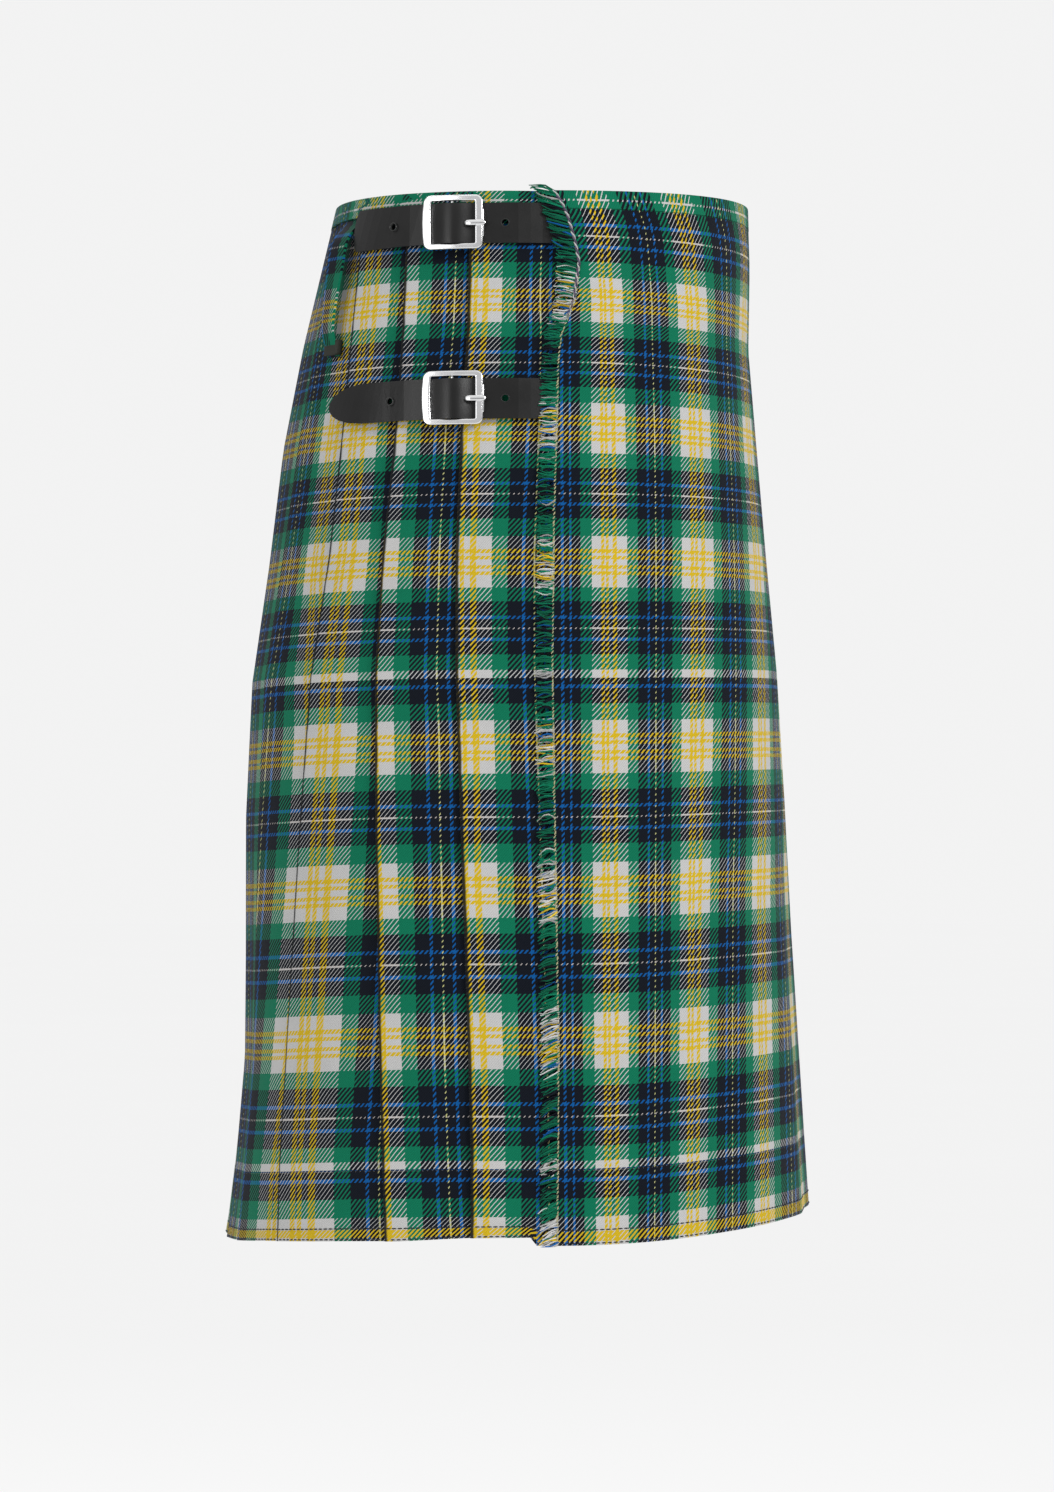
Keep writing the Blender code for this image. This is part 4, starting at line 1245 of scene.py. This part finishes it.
# The buckle, from its middle bar: ahead, up and out.
FRAME_BACK, FRAME_FRONT, FRAME_TALL, FRAME_RAISED = -0.0156, 0.0180, 0.0316, 0.0006
FRAME_BAR, FRAME_END, FRAME_WALL = 0.0033, 0.0044, 0.0026
FRAME_BOW, BOW_START, BOW_OVER = 0.0014, -0.006, 0.0096
FRAME_CORNER, FRAME_EDGE = 0.0040, 0.0009
FRAME_OUT, FRAME_TILT = 0.00525, -0.0395
BAR_RADIUS, BAR_OUT, BAR_RAISED = 0.0009, 0.0028, 0.0008
SLEEVE, SLEEVE_EDGE, SLEEVE_BACK = (0.0024, 0.0166, 0.0023), 0.0008, 0.0005
# The tongue: its wall, gap round the bar, half width at its root, and how much wider it gets and where.
TONGUE_WALL, TONGUE_GAP, TONGUE_CUTS = 0.0015, 0.0004, 47
TONGUE_HALF, TONGUE_WIDENS, WIDENS_FROM, WIDENS_OVER = 0.0012, 0.0005, 0.007, 0.004
# Share of its length at which it starts to round off, and the least share of its wall left there.
TIP_START, TIP_LEAST = 0.93, 0.05
TONGUE_PATH = (
    (0.0030, 0.0028),
    (0.0058, 0.0032),
    (0.0074, 0.0044),
    (0.0086, 0.0064),
    (0.0110, 0.0071),
    (0.0198, 0.0070),
)
# Each punched hole: ahead of the bar, and how far out its rim lies.
HOLES = ((-0.0376, 0.0043), (0.0306, 0.0029))
HOLE_RIM = {"major_radius": 0.00225, "minor_radius": 0.00030, "major_segments": 28, "minor_segments": 8}
STRAP_HUMP, STRAP_ENDS, STRAP_REACH = 0.0077, (0.0029, 0.0043), 0.0150
STRAP_FACE = (0.0292, 0.0234)
FACE_WALL, FACE_PROUD, FACE_DIP = 0.0003, 0.00006, 0.00024
RIM_FLAT = 0.8
KEEPER, KEEPER_EDGE, KEEPER_RAISED, KEEPER_OUT = (0.0122, 0.0090, 0.0050), 0.0010, 0.0052, 0.0030
BEVEL_FROM = {"limit_method": "ANGLE", "angle_limit": math.radians(50)}


def frame_out(ahead):
    return FRAME_OUT + FRAME_TILT * ahead


def start(adder, **settings):
    """Adds a primitive with nothing else selected, and opens it for modelling."""
    bpy.ops.object.select_all(action="DESELECT")
    adder(**settings)
    made = bpy.context.object
    bpy.ops.object.transform_apply(location=True, rotation=True, scale=True)
    bpy.ops.object.mode_set(mode="EDIT")
    bpy.ops.mesh.select_all(action="SELECT")
    return made


def close(made):
    bpy.ops.mesh.select_all(action="SELECT")
    bpy.ops.mesh.normals_make_consistent(inside=False)
    bpy.ops.object.mode_set(mode="OBJECT")
    return made


def apply(made, kind, **settings):
    modifier = made.modifiers.new(kind.title(), kind)
    for key, value in settings.items():
        setattr(modifier, key, value)
    bpy.context.view_layer.objects.active = made
    bpy.ops.object.modifier_apply(modifier=modifier.name)


def join(first, *others):
    bpy.ops.object.select_all(action="DESELECT")
    for piece in (first, *others):
        piece.select_set(True)
    bpy.context.view_layer.objects.active = first
    bpy.ops.object.join()
    return first


def wrap(made, at, side):
    """Bends a flat piece, drawn as (ahead, up, out), onto the hip. The left hip mirrors it inside out."""
    for vertex in made.data.vertices:
        vertex.co = at(*vertex.co)
    made.data.update()
    if side < 0:
        made.data.flip_normals()
    return made


def buckle(label, side, depth):
    """A rounded frame with a bowed back bar, a middle bar for the tongue and a sleeve on the front bar."""
    long, middle = FRAME_FRONT - FRAME_BACK, (FRAME_FRONT + FRAME_BACK) / 2
    rim = start(bpy.ops.mesh.primitive_plane_add, size=1)
    bpy.ops.transform.resize(value=(long, FRAME_TALL, 1))
    bpy.ops.mesh.bevel(offset=FRAME_CORNER, segments=7, affect="VERTICES")
    bpy.ops.mesh.inset(thickness=FRAME_BAR)
    bpy.ops.mesh.delete(type="FACE")
    bpy.ops.object.mode_set(mode="OBJECT")
    window_long, window_tall = long / 2 - FRAME_BAR, FRAME_TALL / 2 - FRAME_BAR
    for vertex in rim.data.vertices:
        if abs(vertex.co.x) < window_long + 1e-5 and abs(vertex.co.y) < window_tall + 1e-5:
            vertex.co.x *= (long / 2 - FRAME_END) / window_long
    bpy.ops.object.mode_set(mode="EDIT")
    bpy.ops.mesh.select_all(action="SELECT")
    bpy.ops.mesh.subdivide(number_cuts=3)
    bpy.ops.mesh.extrude_region_move(TRANSFORM_OT_translate={"value": (0, 0, FRAME_WALL)})
    close(rim)
    apply(rim, "BEVEL", width=FRAME_EDGE, segments=4, **BEVEL_FROM)
    for vertex in rim.data.vertices:
        ahead, up = vertex.co.x + middle, vertex.co.y
        if ahead < BOW_START:
            share = min((BOW_START - ahead) / BOW_OVER, 1.0)
            ahead -= share * FRAME_BOW * (1 - (up / (FRAME_TALL / 2)) ** 2)
        vertex.co = (ahead, up + FRAME_RAISED, frame_out(ahead) + vertex.co.z - FRAME_WALL / 2)
    bar = start(
        bpy.ops.mesh.primitive_cylinder_add,
        vertices=16,
        radius=BAR_RADIUS,
        depth=FRAME_TALL - FRAME_BAR,
        location=(0, FRAME_RAISED, BAR_OUT + BAR_RAISED),
        rotation=(math.pi / 2, 0, 0),
    )
    bpy.ops.mesh.subdivide(number_cuts=2)
    close(bar)
    sleeve = start(bpy.ops.mesh.primitive_cube_add, size=1)
    bpy.ops.transform.resize(value=SLEEVE)
    bpy.ops.mesh.bevel(offset=SLEEVE_EDGE, segments=4, affect="EDGES")
    close(sleeve)
    for vertex in sleeve.data.vertices:
        vertex.co.x += FRAME_FRONT - SLEEVE_BACK
        vertex.co.z += frame_out(FRAME_FRONT)
    made = wrap(join(rim, bar, sleeve), hip_place(depth, side), side)
    made.name = f"buckle_{label}_polished"
    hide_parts(f"buckle_{label}")
    return settle(made, nickel, smooth_angle=50)


def tongue(label, side, depth):
    """The prong: a loop round the middle bar, up through the strap and onto the front bar."""
    turn = BAR_RADIUS + TONGUE_GAP + TONGUE_WALL / 2
    angles = np.radians(range(350, 80, -15))
    loop = np.stack([turn * np.cos(angles), BAR_OUT + turn * np.sin(angles)], 1)
    path = np.concatenate([loop, TONGUE_PATH])
    steps = np.concatenate([[0], np.cumsum(np.hypot(*np.diff(path, axis=0).T))])
    prong = start(bpy.ops.mesh.primitive_cylinder_add, vertices=12, radius=1, depth=2)
    bpy.ops.mesh.subdivide(number_cuts=TONGUE_CUTS)
    close(prong)
    for vertex in prong.data.vertices:
        share = (vertex.co.z + 1) / 2
        run = share * steps[-1]
        runs = [run, min(run + 0.0003, steps[-1]), max(run - 0.0003, 0.0)]
        here, after, before = np.stack([np.interp(runs, steps, path[:, i]) for i in (0, 1)], 1)
        heading = (after - before) / np.linalg.norm(after - before)
        wider = smooth((here[0] - WIDENS_FROM) / WIDENS_OVER) if share > 0.5 else 0.0
        width = TONGUE_HALF + TONGUE_WIDENS * wider
        tip = math.sqrt(max(1 - max((share - TIP_START) / (1 - TIP_START), 0.0) ** 2, TIP_LEAST))
        lift = vertex.co.y * TONGUE_WALL / 2 * tip
        vertex.co = (here[0] - heading[1] * lift, vertex.co.x * width * tip, here[1] + heading[0] * lift)
    made = wrap(prong, hip_place(depth, side), side)
    bpy.ops.object.mode_set(mode="EDIT")
    close(made)
    made.name = f"tongue_{label}_polished"
    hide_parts(f"tongue_{label}")
    return settle(made, nickel, smooth_angle=50)


def strap_out(ahead):
    """How far out the strap's face lies as it rides over the middle bar."""
    end = STRAP_ENDS[0] if ahead > 0 else STRAP_ENDS[1]
    return end + (STRAP_HUMP - end) * (1 + math.cos(math.pi * ahead / STRAP_REACH)) / 2


def strap_face(label, side, depth):
    """The strap's smooth face where it arches through the buckle, closed up round the tongue."""
    made = start(bpy.ops.mesh.primitive_grid_add, x_subdivisions=28, y_subdivisions=10, size=1)
    bpy.ops.transform.resize(value=(*STRAP_FACE, 1))
    bpy.ops.mesh.extrude_region_move(TRANSFORM_OT_translate={"value": (0, 0, FACE_WALL)})
    close(made)
    for vertex in made.data.vertices:
        dip = FACE_DIP * (vertex.co.y / STRAP_FACE[1] * 2) ** 4 if vertex.co.z > FACE_WALL / 2 else 0.0
        vertex.co.z += strap_out(vertex.co.x) + FACE_PROUD - dip
    made = wrap(made, hip_place(depth, side), side)
    made.name = f"strap_face_{label}"
    return settle(made, leather, smooth_angle=60)


def hole_rims(label, side, depth):
    """The worn, slightly raised edges of the punched holes."""
    rims = []
    for ahead, out in HOLES:
        rim = close(start(bpy.ops.mesh.primitive_torus_add, **HOLE_RIM))
        for vertex in rim.data.vertices:
            vertex.co = (vertex.co.x + ahead, vertex.co.y, vertex.co.z * RIM_FLAT + out)
        rims.append(rim)
    made = wrap(join(*rims), hip_place(depth, side), side)
    made.name = f"hole_rims_{label}"
    return settle(made, worn_edge)


def loop_keeper(side):
    """The folded dark tape that holds the lower end of a belt loop."""
    made = start(bpy.ops.mesh.primitive_cube_add, size=1)
    bpy.ops.mesh.subdivide(number_cuts=3)
    bpy.ops.transform.resize(value=KEEPER)
    close(made)
    apply(made, "BEVEL", width=KEEPER_EDGE, segments=3, **BEVEL_FROM)
    for vertex in made.data.vertices:
        across, up, out = vertex.co
        down = float(round(BELT_LOOP_TOP + BELT_LOOP_LENGTH - KEEPER_RAISED - up, 6))
        length = loop_length(side, down, LOOP_LEAN - across)
        vertex.co = place(down, [length], [out + KEEPER_OUT + pleat_face(down, length)], False)[0]
    made.data.update()
    bpy.ops.object.mode_set(mode="EDIT")
    close(made)
    made.name = f"loop_keeper_{side_name(side)}"
    return settle(made, dark_tape, smooth_angle=60)


for label, side, depth in FASTENINGS:
    buckle(label, side, depth)
    tongue(label, side, depth)
    strap_face(label, side, depth)
    hole_rims(label, side, depth)
for side in (1, -1):
    loop_keeper(side)

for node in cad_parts.values():
    if node.name.split("_")[0] in ("strap", "chape"):
        node.data.materials.clear()
        node.data.materials.append(leather)

# ---------------------------------------------------------------- floor, light and camera

FLOOR, FLOOR_RADIUS = -1.02, 40
BACKDROP = 0.893
# Brightness of the light from each height of the sky, from 0 straight below to 1 straight above.
SKY = ((0.30, (0.50, 0.50, 0.50)), (0.47, (0.20, 0.20, 0.21)), (0.85, (0.95, 0.95, 0.95)))


def stage_floor():
    bpy.ops.mesh.primitive_circle_add(vertices=96, radius=FLOOR_RADIUS, fill_type="NGON")
    floor = bpy.context.object
    floor.name = "studio_floor"
    for vertex in floor.data.vertices:
        vertex.co.z = FLOOR
    look, tree, shader = new_material("pale studio floor")
    colour = mix_colour(tree, noise(tree, object_place(tree), 1.5), (0.115,) * 3, (0.125,) * 3)
    feed(tree, shader, {"Base Color": colour, "Roughness": 1.0, "Specular IOR Level": 0.0})
    feed(tree, shader, {"Emission Color": (1, 1, 1), "Emission Strength": 0.79})
    floor.data.materials.append(look)


def lamp(name, place_at, target, size, power):
    data = bpy.data.lights.new(name, "AREA")
    data.shape, data.size, data.energy = "SQUARE", size, power
    made = bpy.data.objects.new(name, data)
    bpy.context.scene.collection.objects.link(made)
    made.location = place_at
    made.rotation_euler = (Vector(target) - Vector(place_at)).to_track_quat("-Z", "Y").to_euler()
    return made


bpy.ops.object.select_all(action="DESELECT")
stage_floor()
lamp("key", (-2.5, -2.3, 1.5), (0, 0, -0.3), 0.9, 62)
lamp("fill", (-2.4, 2.4, 0.5), (0, 0, -0.3), 1.8, 16)
lamp("back", (2.6, 0.4, 1.6), (0, 0, -0.3), 1.6, 30)
lamp("sheen", (-2.4, 2.1, 0.0), (0, 0, -0.1), 0.6, 9).visible_diffuse = False


def studio_world():
    """The eye sees an even pale backdrop. The light comes mostly from above, and least from near level."""
    world = bpy.data.worlds.new("studio")
    bpy.context.scene.world = world
    world.use_nodes = True
    tree = world.node_tree
    up = parts_of(tree, add(tree, "ShaderNodeTexCoord").outputs["Generated"])["Z"]
    sky = add(tree, "ShaderNodeValToRGB", {0: math_node(tree, "MULTIPLY_ADD", up, 0.5, 0.5)})
    stops = sky.color_ramp.elements
    for stop, (at, grey) in zip(stops, (SKY[0], SKY[-1])):
        stop.position, stop.color = at, (*grey, 1)
    stops.new(SKY[1][0]).color = (*SKY[1][1], 1)
    seen = add(tree, "ShaderNodeLightPath").outputs["Is Camera Ray"]
    colour = mix_colour(tree, seen, sky.outputs["Color"], (BACKDROP,) * 3)
    feed(tree, tree.nodes["Background"], {"Color": colour, "Strength": 1.0})


studio_world()
bpy.context.scene.view_settings.view_transform = "Standard"

# The view's height, the row level with the eye and the distance to the lens, all in pixels.
VIEW_TALL, EYE_ROW, LENS_PIXELS = 1492, 825, 6636
SENSOR = 36
CAMERA_PLACE = (-4.0, 0.009, -0.369)
camera_data = bpy.data.cameras.new("camera")
camera_data.lens = LENS_PIXELS * SENSOR / VIEW_TALL
camera_data.sensor_width = SENSOR
camera_data.clip_end = 200
camera = bpy.data.objects.new("camera", camera_data)
bpy.context.scene.collection.objects.link(camera)
camera.location = CAMERA_PLACE
tip_up = math.atan((EYE_ROW - VIEW_TALL / 2) / LENS_PIXELS)
camera.rotation_euler = (math.radians(90) + tip_up, 0, math.radians(-90))
bpy.context.scene.camera = camera
